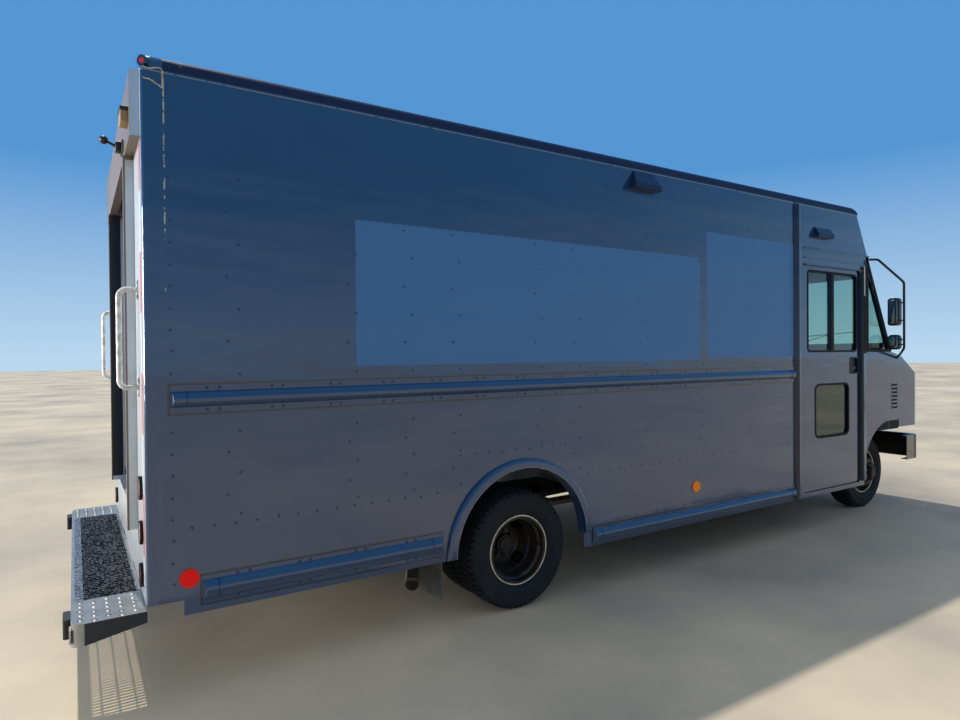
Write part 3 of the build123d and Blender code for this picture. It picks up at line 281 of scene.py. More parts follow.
# Body paint: deep navy enamel sprayed over aluminium sheet, glossy and dusty low down. Two
# oblongs are duller where an old colour was painted over, and brittle white sealant shows
# along the roof rail and the rear seam. The orange peel is drawn coarse enough to show.
station_zero = -3.52
half_width = 1.2
rail_z = 2.92
seam_x, seam_width = -3.43, 0.007
post_fold = (-3.487, -3.459)
patches = [
    # start and end along the van, low, high
    (1.01 + station_zero, 3.795 + station_zero, 1.56, 2.34),
    (3.88 + station_zero, 5.03 + station_zero, 1.572, 2.547),
]
dark_joints = [
    # grime in the joint round each rub rail, and the nose's seam: start, end, low, high
    (-3.425, 1.524, 1.344, 1.493), (-3.296, -1.988, 0.444, 0.595), (-0.849, 1.524, 0.321, 0.449),
    (3.3635, 3.3685, 0.83, 1.56),
]
# rear-facing half of the divider rail, painted dark as painted shade and a painted dark reflection
shaded_divider_half = (1.513, 1.553)
bead_low, bead_high = rail_z - 0.012, rail_z - 0.006


def inside_span(add, value, low, high, soft):
    """One between low and high and nought outside, with soft ends."""
    rise = add("MapRange", {"Value": value, "From Min": low - soft, "From Max": low + soft})
    fall = add("MapRange", {"Value": value, "From Min": high - soft, "From Max": high + soft, "To Min": 1.0,
                            "To Max": 0.0})
    return add("Math", {0: rise, 1: fall}, operation="MULTIPLY")


def inside_oblongs(add, along, height, oblongs, soft):
    """One inside any of the oblongs on the van's side and nought outside."""
    mask = 0.0
    for start, end, low, high in oblongs:
        oblong = add("Math", {0: inside_span(add, along, start, end, soft),
                              1: inside_span(add, height, low, high, soft)}, operation="MULTIPLY")
        mask = add("Math", {0: mask, 1: oblong}, operation="MAXIMUM")
    return mask


def spray_navy(surface, add, place, sealed=False, dust=1.0):
    """Lay the navy enamel on a surface node, with the white sealant lines if sealed."""
    along, across, height = add("SeparateXYZ", {0: place}).outputs
    patch = inside_oblongs(add, along, height, patches, 0.003)
    cloud = add("TexNoise", {"Vector": place, "Scale": 1.3, "Detail": 6.0})
    shade = add("Mix", {0: cloud, 6: "#123258", 7: "#18406c"}, data_type="RGBA")
    repaint = add("Mix", {0: patch, 6: shade, 7: "#326aa2"}, data_type="RGBA")
    splash = add("TexNoise", {"Vector": place, "Scale": 14.0, "Detail": 8.0, "Roughness": 0.7})
    even = add("MapRange", {"Value": splash, "To Min": 0.35, "To Max": 0.65})
    low_down = add("MapRange", {"Value": height, "From Min": 0.3, "From Max": 1.5, "To Min": 0.27 * dust,
                                "To Max": 0.03})
    dirt = add("Math", {0: even, 1: low_down}, operation="MULTIPLY")
    colour = add("Mix", {0: dirt, 6: repaint, 7: "#8c857b"}, data_type="RGBA")
    if sealed:
        chips = add("TexNoise", {"Vector": place, "Scale": 38.0, "Detail": 5.0, "Roughness": 0.7})
        climb = add("MapRange", {"Value": height, "From Min": 0.9, "From Max": 2.85, "To Min": -0.3,
                                 "To Max": 0.02})
        left_over = add("Math", {0: chips, 1: climb}, operation="ADD")
        flakes = add("MapRange", {"Value": left_over, "From Min": 0.46, "From Max": 0.5})
        seam = add("Math", {0: inside_span(add, along, seam_x, seam_x + seam_width, 0.001), 1: flakes},
                   operation="MULTIPLY")
        steady = add("MapRange", {"Value": chips, "From Min": 0.36, "From Max": 0.42})
        bead = add("Math", {0: inside_span(add, height, bead_low, bead_high, 0.0012), 1: steady},
                   operation="MULTIPLY")
        faint = add("Math", {0: bead, 1: 0.4}, operation="MULTIPLY")
        white = add("Math", {0: seam, 1: faint}, operation="MAXIMUM")
        colour = add("Mix", {0: white, 6: colour, 7: "#a8a497"}, data_type="RGBA")
        grime = add("Math", {0: inside_oblongs(add, along, height, dark_joints, 0.001), 1: 0.85},
                    operation="MULTIPLY")
        colour = add("Mix", {0: grime, 6: colour, 7: "#07090d"}, data_type="RGBA")
    wave_place = add("Mapping", {"Vector": place, "Scale": (0.55, 1.0, 2.4)})
    wave = add("TexNoise", {"Vector": wave_place, "Scale": 1.7, "Detail": 2.0})
    peel = add("TexNoise", {"Vector": place, "Scale": 260.0, "Detail": 2.0})
    fold = inside_span(add, along, *post_fold, 0.008)
    raised = add("Math", {0: fold, 1: 0.35}, operation="MULTIPLY")
    form = add("Math", {0: wave, 1: raised}, operation="ADD")
    panel_wave = add("Bump", {"Height": form, "Distance": 0.014, "Strength": 0.45})
    skin_peel = add("Bump", {"Height": peel, "Distance": 0.0002, "Strength": 0.25, "Normal": panel_wave})
    dull = add("MapRange", {"Value": patch, "To Min": 0.14, "To Max": 0.4})
    # painted shade: the divider rail's rear-facing half is near-black navy without lacquer, for its shadow and
    # dark reflection
    painted_divider_shade = inside_span(add, along, *shaded_divider_half, 0.002)
    colour = add("Mix", {0: painted_divider_shade, 6: colour, 7: "#0a1730"}, data_type="RGBA")
    flat = add("Math", {0: patch, 1: painted_divider_shade}, operation="MAXIMUM")
    lacquer = add("MapRange", {"Value": flat, "To Min": 1.0, "To Max": 0.2})
    film = add("Math", {0: dirt, 1: 0.5}, operation="MULTIPLY")
    rough = add("Math", {0: dull, 1: film}, operation="ADD")
    set_inputs(surface, {"Base Color": colour, "Roughness": rough, "Coat Weight": lacquer, "Coat Roughness": 0.05,
                         "Normal": skin_peel, "Coat Normal": skin_peel})


navy, *parts = new_finish("navy_enamel")
spray_navy(*parts)
sealed_navy, *parts = new_finish("navy_enamel_sealed")
spray_navy(*parts, sealed=True)
clean_navy, *parts = new_finish("navy_enamel_wiped")
spray_navy(*parts, dust=0.3)
give(sealed_navy, "side_left", "side_right", "cab_side_left", "cab_side_right", "nose")
give(navy, "windscreen_frame", "hood", "door_left", "door_right", "rear_door")
give(clean_navy, "arch_flares", "rub_rails")

# Rivets: domed aluminium rivets, painted with the sheet they hold. They run down the rear
# post, in pairs over every frame post, and in rows under the rub rail and over the arch.
post_columns = [(0.356, 0.412), (0.966, 1.01), (1.297, 1.344), (1.604, 1.653), (2.21, 2.26), (2.525, 2.577),
                (3.15, 3.2), (3.78, 3.83), (4.4, 4.45), (4.98, 5.03)]
rear_post, spacing, upper_spacing = 0.112, 0.1, 0.156
arch_station, arch_z, flare_edge = 2.105, 0.405, 0.575
rivet_rows = [
    # height, start, end
    (0.815, 0.19, 1.55), (0.815, 2.65, 5.0), (1.022, 1.65, 2.55), (0.47, 2.8, 5.0),
]


def rivet(build, spot, radius=0.0065, proud=0.0026):
    """One flattened dome standing on a side skin."""
    flat = Matrix.Diagonal((1, proud / radius, 1, 1)) @ along_y
    bmesh.ops.create_uvsphere(build, u_segments=10, v_segments=4, radius=radius,
                              matrix=Matrix.Translation(spot) @ flat)


def clear_of_arch(station, height):
    """Whether a spot on the side lies outside the rear wheel arch and its flare."""
    return math.hypot(station - arch_station, height - arch_z) > flare_edge


rivet_paint = worn_finish("grimed_rivets", "#1a3962", "#1f3254", 0.003, 0.3, 0.0, 0.0003, 30.0)
random.seed(4)
for side, hand in sides:
    build = bmesh.new()
    spots = [(rear_post, 0.565 + spacing * count) for count in range(8)]
    spots += [(rear_post, 1.54 + spacing * count) for count in range(14)]
    for rear, front in post_columns:
        spots += [(rear if count % 2 else front, 0.855 + spacing * count) for count in range(5)]
        spots += [(rear if count % 2 else front, 1.53 + upper_spacing * count) for count in range(8)]
    for height, start, end in rivet_rows:
        spots += [(start + spacing * count, height) for count in range(int((end - start) / spacing) + 1)]
    for station, height in spots:
        drift = random.uniform(-0.003, 0.003)
        if clear_of_arch(station, height):
            rivet(build, (station + drift + station_zero, hand * half_width, height + drift))
    finish_piece(build, "side_rivets_" + side, rivet_paint, "van_body", angle=60)

# Rub rail fixings: extruded aluminium rails held by pan-head screws in pairs through both
# flanges. They are painted over, and a cast cap closes each rail's end with a fine seam.
rail_runs = [
    # start, end, middle height, height of the screws over it, half height of the bulge
    (0.104, 5.035, 1.4185, 0.052, 0.037), (0.233, 1.523, 0.5195, 0.055, 0.046),
    (2.68, 5.035, 0.385, 0.047, 0.04),
]
first_screw, screw_pitch, pair_gap = 0.16, 0.3, 0.055
cap_seam, bulge_out = 0.07, 0.0263
turns = [math.radians(step) for step in range(-88, 89, 8)]
screw_y, seam_y = half_width + 0.004, half_width + 0.0043
seam_black = worn_finish("seam_shadow", "#0b0c0f", "#16171a", 0.003, 0.7)
for side, hand in sides:
    build = bmesh.new()
    for start, end, middle, screw, bulge in rail_runs:
        for count in range(int((end - start - 0.2) / screw_pitch) + 1):
            for shift in (0.0, pair_gap):
                for up in (-screw, screw):
                    station = start + first_screw + screw_pitch * count + shift
                    rivet(build, (station + station_zero, hand * screw_y, middle + up), 0.0075, 0.0032)
    finish_piece(build, "rail_screws_" + side, rivet_paint, "van_body", angle=60)
    build = bmesh.new()
    for start, end, middle, screw, bulge in rail_runs:
        for station in (start + cap_seam, end - cap_seam):
            curve = [(station + station_zero, hand * (seam_y + bulge_out * math.cos(turn)),
                      middle + bulge * math.sin(turn)) for turn in turns]
            arc = [build.verts.new(spot) for spot in curve]
            line = [build.edges.new(pair) for pair in zip(arc, arc[1:])]
            swept = bmesh.ops.extrude_edge_only(build, edges=line)["geom"]
            bmesh.ops.translate(build, vec=(0.0018, 0, 0),
                                verts=[v for v in swept if isinstance(v, bmesh.types.BMVert)])
    seams = finish_piece(build, "rail_cap_seams_" + side, seam_black, "van_body")
    thick = seams.modifiers.new("bead", "SOLIDIFY")
    thick.thickness, thick.offset = 0.0012, 0.0

# Roof: fibreglass-reinforced sheet on aluminium bows, milky white on top, with the navy
# extruded cant rail along its edges and a thin black joint where they meet.
roof_skin, surface, add, place = new_finish("roof_skin")
along, across, height = add("SeparateXYZ", {0: place}).outputs
reach = add("Math", {0: across}, operation="ABSOLUTE")
rail_inner, rail_front, rail_rear = 1.12, 2.38, -3.45
rail = add("MapRange", {"Value": reach, "From Min": rail_inner - 0.002, "From Max": rail_inner + 0.002})
front_end = add("MapRange", {"Value": along, "From Min": rail_front - 0.002, "From Max": rail_front + 0.002})
rear_end = add("MapRange", {"Value": along, "From Min": rail_rear - 0.002, "From Max": rail_rear + 0.002,
                            "To Min": 1.0, "To Max": 0.0})
ends = add("Math", {0: front_end, 1: rear_end}, operation="MAXIMUM")
edge_mask = add("Math", {0: rail, 1: ends}, operation="MAXIMUM")
joint = inside_span(add, reach, rail_inner - 0.008, rail_inner, 0.001)
stain = add("TexNoise", {"Vector": place, "Scale": 2.4, "Detail": 9.0, "Roughness": 0.65})
milky = add("Mix", {0: stain, 6: "#bfc1bd", 7: "#9a9d98"}, data_type="RGBA")
tone = add("Mix", {0: edge_mask, 6: milky, 7: "#14264a"}, data_type="RGBA")
lined = add("Mix", {0: joint, 6: tone, 7: "#0b0c0f"}, data_type="RGBA")
weave = add("TexNoise", {"Vector": place, "Scale": 160.0, "Detail": 3.0})
relief = add("Bump", {"Height": weave, "Distance": 0.0004, "Strength": 0.5})
set_inputs(surface, {"Base Color": lined, "Roughness": 0.5, "Specular IOR Level": 0.2, "Normal": relief})
give(roof_skin, "roof")

# Rear frame: formed aluminium posts and header, left bare and milky with oxide on their
# rear faces and painted navy round the corner and over the cap. The header's rear face and
# the lintel band are painted brown and not metallic: a painted reflection of the sunlit ground.
header_x, lintel = -3.56, (2.6, 2.6205)
corner_y, cap_foot = 1.187, 2.925
rear_metal, surface, add, place = new_finish("rear_frame_metal")
along, across, height = add("SeparateXYZ", {0: place}).outputs
reach = add("Math", {0: across}, operation="ABSOLUTE")
oxide = add("TexNoise", {"Vector": place, "Scale": 5.0, "Detail": 9.0, "Roughness": 0.65})
metal_tone = add("Mix", {0: oxide, 6: "#dadcdc", 7: "#aeb3b6"}, data_type="RGBA")
rear_side = add("MapRange", {"Value": along, "From Min": header_x + 0.0005, "From Max": header_x + 0.0015,
                             "To Min": 1.0, "To Max": 0.0})
under_side = inside_span(add, height, *lintel, 0.0004)
# painted reflection: the header's rear face and the lintel band get a flat brown for the sunlit ground they
# mirror
ground_reflection_zone = add("Math", {0: rear_side, 1: under_side}, operation="MAXIMUM")
painted_ground_reflection = add("Math", {0: ground_reflection_zone, 1: 0.9}, operation="MULTIPLY")
bright = add("MapRange", {"Value": painted_ground_reflection, "To Min": 0.7, "To Max": 0.0})
header_tone = add("Mix", {0: painted_ground_reflection, 6: metal_tone, 7: "#5f4a36"}, data_type="RGBA")
rough_metal = add("MapRange", {"Value": oxide, "To Min": 0.26, "To Max": 0.5})
scratch = add("TexNoise", {"Vector": place, "Scale": 420.0, "Detail": 3.0})
relief = add("Bump", {"Height": scratch, "Distance": 0.0003, "Strength": 0.5})
set_inputs(surface, {"Base Color": header_tone, "Roughness": rough_metal, "Normal": relief, "Metallic": bright})
painted = add("BsdfPrincipled", {})
spray_navy(painted, add, place, sealed=True)
round_corner = add("MapRange", {"Value": reach, "From Min": corner_y - 0.0002, "From Max": corner_y + 0.0002})
cap = add("MapRange", {"Value": height, "From Min": cap_foot - 0.0005, "From Max": cap_foot + 0.0005})
navy_mask = add("Math", {0: round_corner, 1: cap}, operation="MAXIMUM")
both_finishes = add("MixShader", {0: navy_mask, 1: surface, 2: painted})
set_inputs(rear_metal.node_tree.nodes["Material Output"], {"Surface": both_finishes})
give(rear_metal, "rear_frame")

# Conspicuity tape and door tracks: 75 mm prismatic tape in faded red and white lengths runs
# up each rear post, its prisms drawn coarse enough to show. A black strip lines the door
# opening's inner face on each side: partly rubber, partly painted shade for the dark gap there.
rear_face = -3.52
tape_inner, tape_outer, tape_length = 1.08, 1.155, 0.28
opening_y, opening_low, opening_high = 0.7605, 0.78, 2.615
tape_film, surface, add, place = new_finish("prismatic_tape")
along, across, height = add("SeparateXYZ", {0: place}).outputs
block_index = add("Math", {0: height, 1: tape_length}, operation="PINGPONG")
red_part = add("MapRange", {"Value": block_index, "From Min": tape_length / 2 - 0.001,
                            "From Max": tape_length / 2 + 0.001})
fade = add("TexNoise", {"Vector": place, "Scale": 11.0, "Detail": 8.0, "Roughness": 0.7})
faded_red = add("Mix", {0: fade, 6: "#a8323a", 7: "#d3a0a0"}, data_type="RGBA")
tape_tone = add("Mix", {0: red_part, 6: "#c7cbcf", 7: faded_red}, data_type="RGBA")
prism = add("TexVoronoi", {"Vector": place, "Scale": 230.0})
relief = add("Bump", {"Height": prism, "Distance": 0.0004, "Strength": 0.4})
set_inputs(surface, {"Base Color": tape_tone, "Roughness": 0.3, "Normal": relief})
# partly painted shade: the black strip stands for the dark gap at the door track as well as its rubber
track_rubber_and_gap_shade = worn_finish("track_rubber_and_gap_shade", "#131417", "#232427", 0.002, 0.55)


def slab(build, corner, far_corner, bevel=0.0):
    """A block between two opposite corners, with its edges rounded when asked."""
    low, high = (Vector(map(pick, corner, far_corner)) for pick in (min, max))
    stand = Matrix.Translation((low + high) / 2) @ Matrix.Diagonal((*(high - low), 1))
    made = bmesh.ops.create_cube(build, size=1, matrix=stand)
    if bevel:
        edges = list({edge for vert in made["verts"] for edge in vert.link_edges})
        bmesh.ops.bevel(build, geom=edges, offset=bevel, affect="EDGES", segments=3, profile=0.5)


for side, hand in sides:
    build = bmesh.new()
    slab(build, (rear_face - 0.0012, hand * tape_inner, 0.56), (rear_face + 0.001, hand * tape_outer, 2.6))
    finish_piece(build, "post_tape_" + side, tape_film, "van_body", False)
    build = bmesh.new()
    slab(build, (-3.5645, hand * (opening_y - 0.004), opening_low), (-3.4965, hand * opening_y, opening_high),
         0.001)
    finish_piece(build, "door_track_strip_" + side, track_rubber_and_gap_shade, "van_body")

# Rear corner caulk: beads of white silicone pressed along the underside of the roof cap and
# round the corner. They have gone grey and lumpy.
caulk = worn_finish("white_silicone", "#b5b0a4", "#8b857a", 0.004, 0.6, 0.0, 0.001, 20.0)


def bead(build, path, radius, corners=8):
    """A round bead of caulk, wire or rod along a path."""
    spine = [Vector(point) for point in path]
    loops = []
    for number, spot in enumerate(spine):
        ahead = spine[min(number + 1, len(spine) - 1)] - spine[max(number - 1, 0)]
        turn = ahead.to_track_quat("Z", "Y").to_matrix().to_4x4()
        ring = bmesh.ops.create_circle(build, segments=corners, radius=radius,
                                       matrix=Matrix.Translation(spot) @ turn)
        loops.append(ring["verts"])
    for first, second in zip(loops, loops[1:]):
        near = {edge for vert in first + second for edge in vert.link_edges}
        edges = [edge for edge in near for ring in (first, second) if all(vert in ring for vert in edge.verts)]
        bmesh.ops.bridge_loops(build, edges=edges)
    for ends in (loops[0], loops[-1]):
        bmesh.ops.contextual_create(build, geom=ends)


caulk_rear, caulk_radius = -3.508, 0.0036
build = bmesh.new()
for hand in (1, -1):
    side_y = hand * (half_width + 0.0005)
    upper = [(0.013 * step, 2.922 - 0.006 * math.sin(step)) for step in range(7)]
    lower = [(0.0125 * step, 2.872 - 0.0009 * step ** 2 - 0.002 * math.sin(2 * step)) for step in range(7)]
    for line in (upper, lower):
        bead(build, [(caulk_rear + x, side_y, z) for x, z in line], caulk_radius)
    bead(build, [(seam_x, side_y, 2.838 + 0.02 * step) for step in range(5)], 0.004)
finish_piece(build, "rear_corner_caulk", caulk, "van_body")

# Flare edges: the rolled inner lip of each aluminium wheel flare, drawn as a pale line that is
# partly paint worn through to the metal and partly a painted highlight along the lip.
worn_edge_and_highlight = worn_finish("worn_flare_edge_and_highlight", "#8d97a3", "#4c5a70", 0.003, 0.4, 0.3, 0.0003, 16.0)
arch_radius, flare_y = 0.5005, 1.2285
turns = [math.radians(step) for step in range(2, 179, 4)]
build = bmesh.new()
for hand in (1, -1):
    lip = [(rear_x - arch_radius * math.cos(turn), hand * flare_y,
            arch_z + arch_radius * math.sin(turn)) for turn in turns]
    bead(build, lip, 0.0024, 6)
finish_piece(build, "flare_edges", worn_edge_and_highlight, "van_body")

# Rear step: folded aluminium treadplate with a serrated grating, drawn as a pattern of dark
# spots that are painted shade in its holes. Raised round dimples stand on its ends, scuffed
# urethane guards its corners, and orange tape worn to rags lies along its rear edge.
step_metal = worn_finish("step_aluminium", "#8f9193", "#54524e", 0.0022, 0.4, 0.7, 0.0003, 8.0)
step_top, step_rear, step_end = 0.478, -3.81, 1.228
grating_end, grating_rear, grating_front = 0.915, -3.795, -3.53
rag_low, rag_high = 0.4, 0.452
step_finish, surface, add, place = new_finish("rear_step_finish")
along, across, height = add("SeparateXYZ", {0: place}).outputs
reach = add("Math", {0: across}, operation="ABSOLUTE")
wear = add("TexNoise", {"Vector": place, "Scale": 9.0, "Detail": 9.0, "Roughness": 0.65})
bare = add("Mix", {0: wear, 6: "#b3b5b6", 7: "#6a6761"}, data_type="RGBA")
grating = inside_oblongs(add, along, reach, [(grating_rear, grating_front, -1.0, grating_end)], 0.001)
teeth = add("TexVoronoi", {"Vector": place, "Scale": 95.0})
# painted shade: dark spots in the grating stand for the shade in its holes
painted_hole_shade = add("MapRange", {"Value": teeth, "From Min": 0.3, "From Max": 0.62})
grate_tone = add("Mix", {0: painted_hole_shade, 6: "#a3a4a6", 7: "#242425"}, data_type="RGBA")
end_face = add("MapRange", {"Value": reach, "From Min": step_end - 0.0015, "From Max": step_end - 0.0005})
end_tone = add("Mix", {0: end_face, 6: bare, 7: "#34373c"}, data_type="RGBA")
dark_part = add("Mix", {0: grating, 6: end_tone, 7: grate_tone}, data_type="RGBA")
rag = add("TexNoise", {"Vector": place, "Scale": 26.0, "Detail": 7.0, "Roughness": 0.7})
torn = add("MapRange", {"Value": rag, "From Min": 0.47, "From Max": 0.52})
strip = add("Math", {0: inside_span(add, height, rag_low, rag_high, 0.001),
                     1: inside_span(add, along, -3.9, step_rear + 0.0015, 0.0002)}, operation="MULTIPLY")
tape_mask = add("Math", {0: strip, 1: torn}, operation="MULTIPLY")
taped = add("Mix", {0: tape_mask, 6: dark_part, 7: "#c2552d"}, data_type="RGBA")
shine = add("MapRange", {"Value": tape_mask, "To Min": 0.7, "To Max": 0.0})
fine = add("TexNoise", {"Vector": place, "Scale": 400.0, "Detail": 3.0})
relief = add("Bump", {"Height": fine, "Distance": 0.0003, "Strength": 0.5})
set_inputs(surface, {"Base Color": taped, "Roughness": 0.38, "Metallic": shine, "Normal": relief})
give(step_finish, "rear_step")

dimple_rows, dimple_pitch, dimple_gap = 5, 0.053, 0.058
upright_turn = Matrix.Identity(4)
build = bmesh.new()
for hand in (1, -1):
    for row in range(dimple_rows):
        for column in range(5):
            spot = Vector((step_rear + 0.035 + dimple_pitch * row,
                           hand * (0.945 + dimple_gap * (column + row % 2 / 2)), step_top + 0.001))
            if abs(spot.y) < step_end - 0.02:
                peg(build, spot, upright_turn, 16, 0.0155, 0.006, tip=0.0085)
                peg(build, spot, upright_turn, 12, 0.006, 0.0085)
finish_piece(build, "step_dimples", step_metal, "van_body", angle=70)
clear_guard, surface, add, place = new_finish("scuffed_urethane")
scuff = add("TexNoise", {"Vector": place, "Scale": 40.0, "Detail": 8.0})
milk = add("Mix", {0: scuff, 6: "#b9b7ac", 7: "#8c897e"}, data_type="RGBA")
set_inputs(surface, {"Base Color": milk, "Roughness": 0.45, "Subsurface Weight": 0.3, "Subsurface Scale": 0.01})
guard_low, guard_high, guard_inner, guard_outer = 0.39, 0.45, 1.14, 1.2
build = bmesh.new()
for hand in (1, -1):
    slab(build, (step_rear - 0.006, hand * guard_inner, guard_low),
         (step_rear + 0.002, hand * guard_outer, guard_high), 0.0025)
finish_piece(build, "step_corner_guards", clear_guard, "van_body")
moulded_rubber = worn_finish("moulded_rubber", "#141414", "#2e2c28", 0.002, 0.7)
give(moulded_rubber, "step_stops")

# Rear roll-up door: painted aluminium slats hooked together. A zinc-plated slam latch and a
# pull handle of bent rod are riveted to the bottom slat.
latch_zinc = worn_finish("zinc_latch", "#a9aaa8", "#6e6a62", 0.002, 0.35, 0.85, 0.0003, 12.0)
door_x, handle_z, handle_proud = -3.495, 0.86, 0.022
build = bmesh.new()
slab(build, (door_x - 0.006, -0.11, 0.9), (door_x + 0.004, 0.11, 1.02), 0.003)
slab(build, (door_x - 0.02, -0.03, 0.925), (door_x - 0.005, 0.03, 0.995), 0.004)
bent_rod = ((0, -0.3), (handle_proud, -0.3), (handle_proud, -0.16), (0, -0.16))
bead(build, [(door_x - proud, y, handle_z) for proud, y in bent_rod], 0.006)
finish_piece(build, "roll_door_latch", latch_zinc, "van_body", angle=50)

# Rear header fittings: a black ball camera stands out from the header on its stalk, and a
# small work lamp of sun-bleached tan plastic with a black lid is screwed on beside it.
black_plastic = worn_finish("black_plastic", "#101113", "#1d1e20", 0.0015, 0.4)
camera_y, lamp_y = -0.69, -1.03
build = bmesh.new()
slab(build, (header_x - 0.008, camera_y - 0.06, 2.655), (header_x + 0.003, camera_y + 0.06, 2.715), 0.003)
slab(build, (header_x - 0.036, camera_y - 0.028, 2.66), (header_x - 0.006, camera_y + 0.028, 2.71), 0.007)
bead(build, [(header_x - out, camera_y, z) for out, z in ((0.03, 2.69), (0.055, 2.702), (0.08, 2.712))], 0.007)
ball = Matrix.Translation((header_x - 0.085, camera_y, 2.714))
bmesh.ops.create_uvsphere(build, u_segments=20, v_segments=12, radius=0.021, matrix=ball)
slab(build, (header_x - 0.036, lamp_y - 0.06, 2.751), (header_x + 0.001, lamp_y + 0.06, 2.768), 0.004)
finish_piece(build, "header_camera", black_plastic, "van_body")
tan_plastic = worn_finish("sun_bleached_plastic", "#b0946a", "#86704f", 0.0015, 0.45)
build = bmesh.new()
slab(build, (header_x - 0.034, lamp_y - 0.056, 2.698), (header_x + 0.001, lamp_y + 0.056, 2.752), 0.005)
finish_piece(build, "header_work_lamp", tan_plastic, "van_body")

# Bumper, grille and mirror shells: black powder-coated steel and moulded black plastic. The
# outer faces of the bumper's rolled ends are painted beige: a painted reflection of the sunlit ground.
black_coat = worn_finish("black_powder_coat", "#0f1012", "#232220", 0.002, 0.4)
mirror_shell = worn_finish("mirror_shell", "#0d0e10", "#1a1b1d", 0.0015, 0.35)
bumper_paint, surface, add, place = new_finish("bumper_paint")
along, across, height = add("SeparateXYZ", {0: place}).outputs
reach = add("Math", {0: across}, operation="ABSOLUTE")
outer_face = add("MapRange", {"Value": reach, "From Min": 1.196, "From Max": 1.199})
end_part = add("Math", {0: outer_face, 1: inside_span(add, along, 3.4, 3.68, 0.02)}, operation="MULTIPLY")
fleck = add("TexNoise", {"Vector": place, "Scale": 18.0, "Detail": 8.0, "Roughness": 0.7})
black_tone = add("Mix", {0: fleck, 6: "#101113", 7: "#2b2926"}, data_type="RGBA")
# painted reflection: beige on the bumper ends' outer faces, for the sunlit ground mirrored in their metal
painted_bumper_reflection = add("Mix", {0: fleck, 6: "#a89c8b", 7: "#7d7466"}, data_type="RGBA")
tone = add("Mix", {0: end_part, 6: black_tone, 7: painted_bumper_reflection}, data_type="RGBA")
set_inputs(surface, {"Base Color": tone, "Roughness": 0.36})
give(bumper_paint, "front_bumper")
give(black_coat, "grille")
give(mirror_shell, "mirrors")
bolt_x, bolt_y, bolt_heights = 3.6, 1.206, (0.56, 0.65)
build = bmesh.new()
for hand in (1, -1):
    for z in bolt_heights:
        peg(build, (bolt_x, hand * bolt_y, z), along_y, 6, 0.011, 0.008)
finish_piece(build, "bumper_bolts", latch_zinc, "van_body", False, 0.0015)

# Mirror glass: silvered glass plates with a slight green-blue cast, held in the rear face of
# each black shell by a thin rim.
mirror_silver = worn_finish("silvered_glass", "#b9cdd0", "#aec4c9", 0.01, 0.1, 1.0, 0.0, 2.0)
mirror_face, mirror_inner, mirror_outer = 3.110, 1.228, 1.307
mirror_panes = ((1.885, 2.121), (1.645, 1.757))
build = bmesh.new()
for hand in (1, -1):
    for low, high in mirror_panes:
        slab(build, (mirror_face - 0.003, hand * mirror_inner, low),
             (mirror_face + 0.003, hand * mirror_outer, high), 0.0012)
finish_piece(build, "mirror_plates", mirror_silver, "van_body", angle=30)

# Cab glass and its seals: green-tinted safety glass set in black rubber channel, which laps
# over the sheet round every pane.
tinted_glass, surface, add, place = new_finish("tinted_glass")
film = add("TexNoise", {"Vector": place, "Scale": 3.0, "Detail": 6.0})
haze = add("MapRange", {"Value": film, "To Min": 0.0, "To Max": 0.05})
set_inputs(surface, {"Base Color": "#c6dfd4", "Roughness": haze, "Transmission Weight": 1.0, "IOR": 1.5})
give(tinted_glass, "cab_glass", "door_glass_left", "door_glass_right")
glass_rubber = worn_finish("glazing_rubber", "#08090a", "#121315", 0.002, 0.5)
set_inputs(glass_rubber.node_tree.nodes["Principled BSDF"], {"Specular IOR Level": 0.2})


def grown(corners, amount):
    """The corners of an outline moved outwards by an amount."""
    moved = []
    for number, spot in enumerate(corners):
        here = Vector(spot)
        before = (here - Vector(corners[number - 1])).normalized()
        after = (Vector(corners[(number + 1) % len(corners)]) - here).normalized()
        first, second = Vector((before.y, -before.x)), Vector((after.y, -after.x))
        moved.append(here + amount * (first + second) / (1 + first.dot(second)))
    return moved


def gasket(build, corners, radius, band, low, high, place):
    """A ring of rubber inside an outline of corners (anticlockwise), between two depths."""
    ring = bmesh.new()
    ring.faces.new([ring.verts.new((across, 0, up)) for across, up in corners])
    bmesh.ops.bevel(ring, geom=ring.verts[:], offset=radius, affect="VERTICES", segments=7, profile=0.5)
    pane = ring.faces[:]
    bmesh.ops.inset_region(ring, faces=pane, thickness=band, use_even_offset=True, use_boundary=True)
    bmesh.ops.delete(ring, geom=pane, context="FACES_ONLY")
    bmesh.ops.translate(ring, vec=(0, low, 0), verts=ring.verts[:])
    lifted = bmesh.ops.extrude_face_region(ring, geom=ring.faces[:])["geom"]
    raised = [part for part in lifted if isinstance(part, bmesh.types.BMVert)]
    bmesh.ops.translate(ring, vec=(0, high - low, 0), verts=raised)
    bmesh.ops.transform(ring, matrix=place, verts=ring.verts[:])
    bmesh.ops.recalc_face_normals(ring, faces=ring.faces[:])
    held = bpy.data.meshes.new("gasket")
    ring.to_mesh(held)
    ring.free()
    build.from_mesh(held)
    bpy.data.meshes.remove(held)


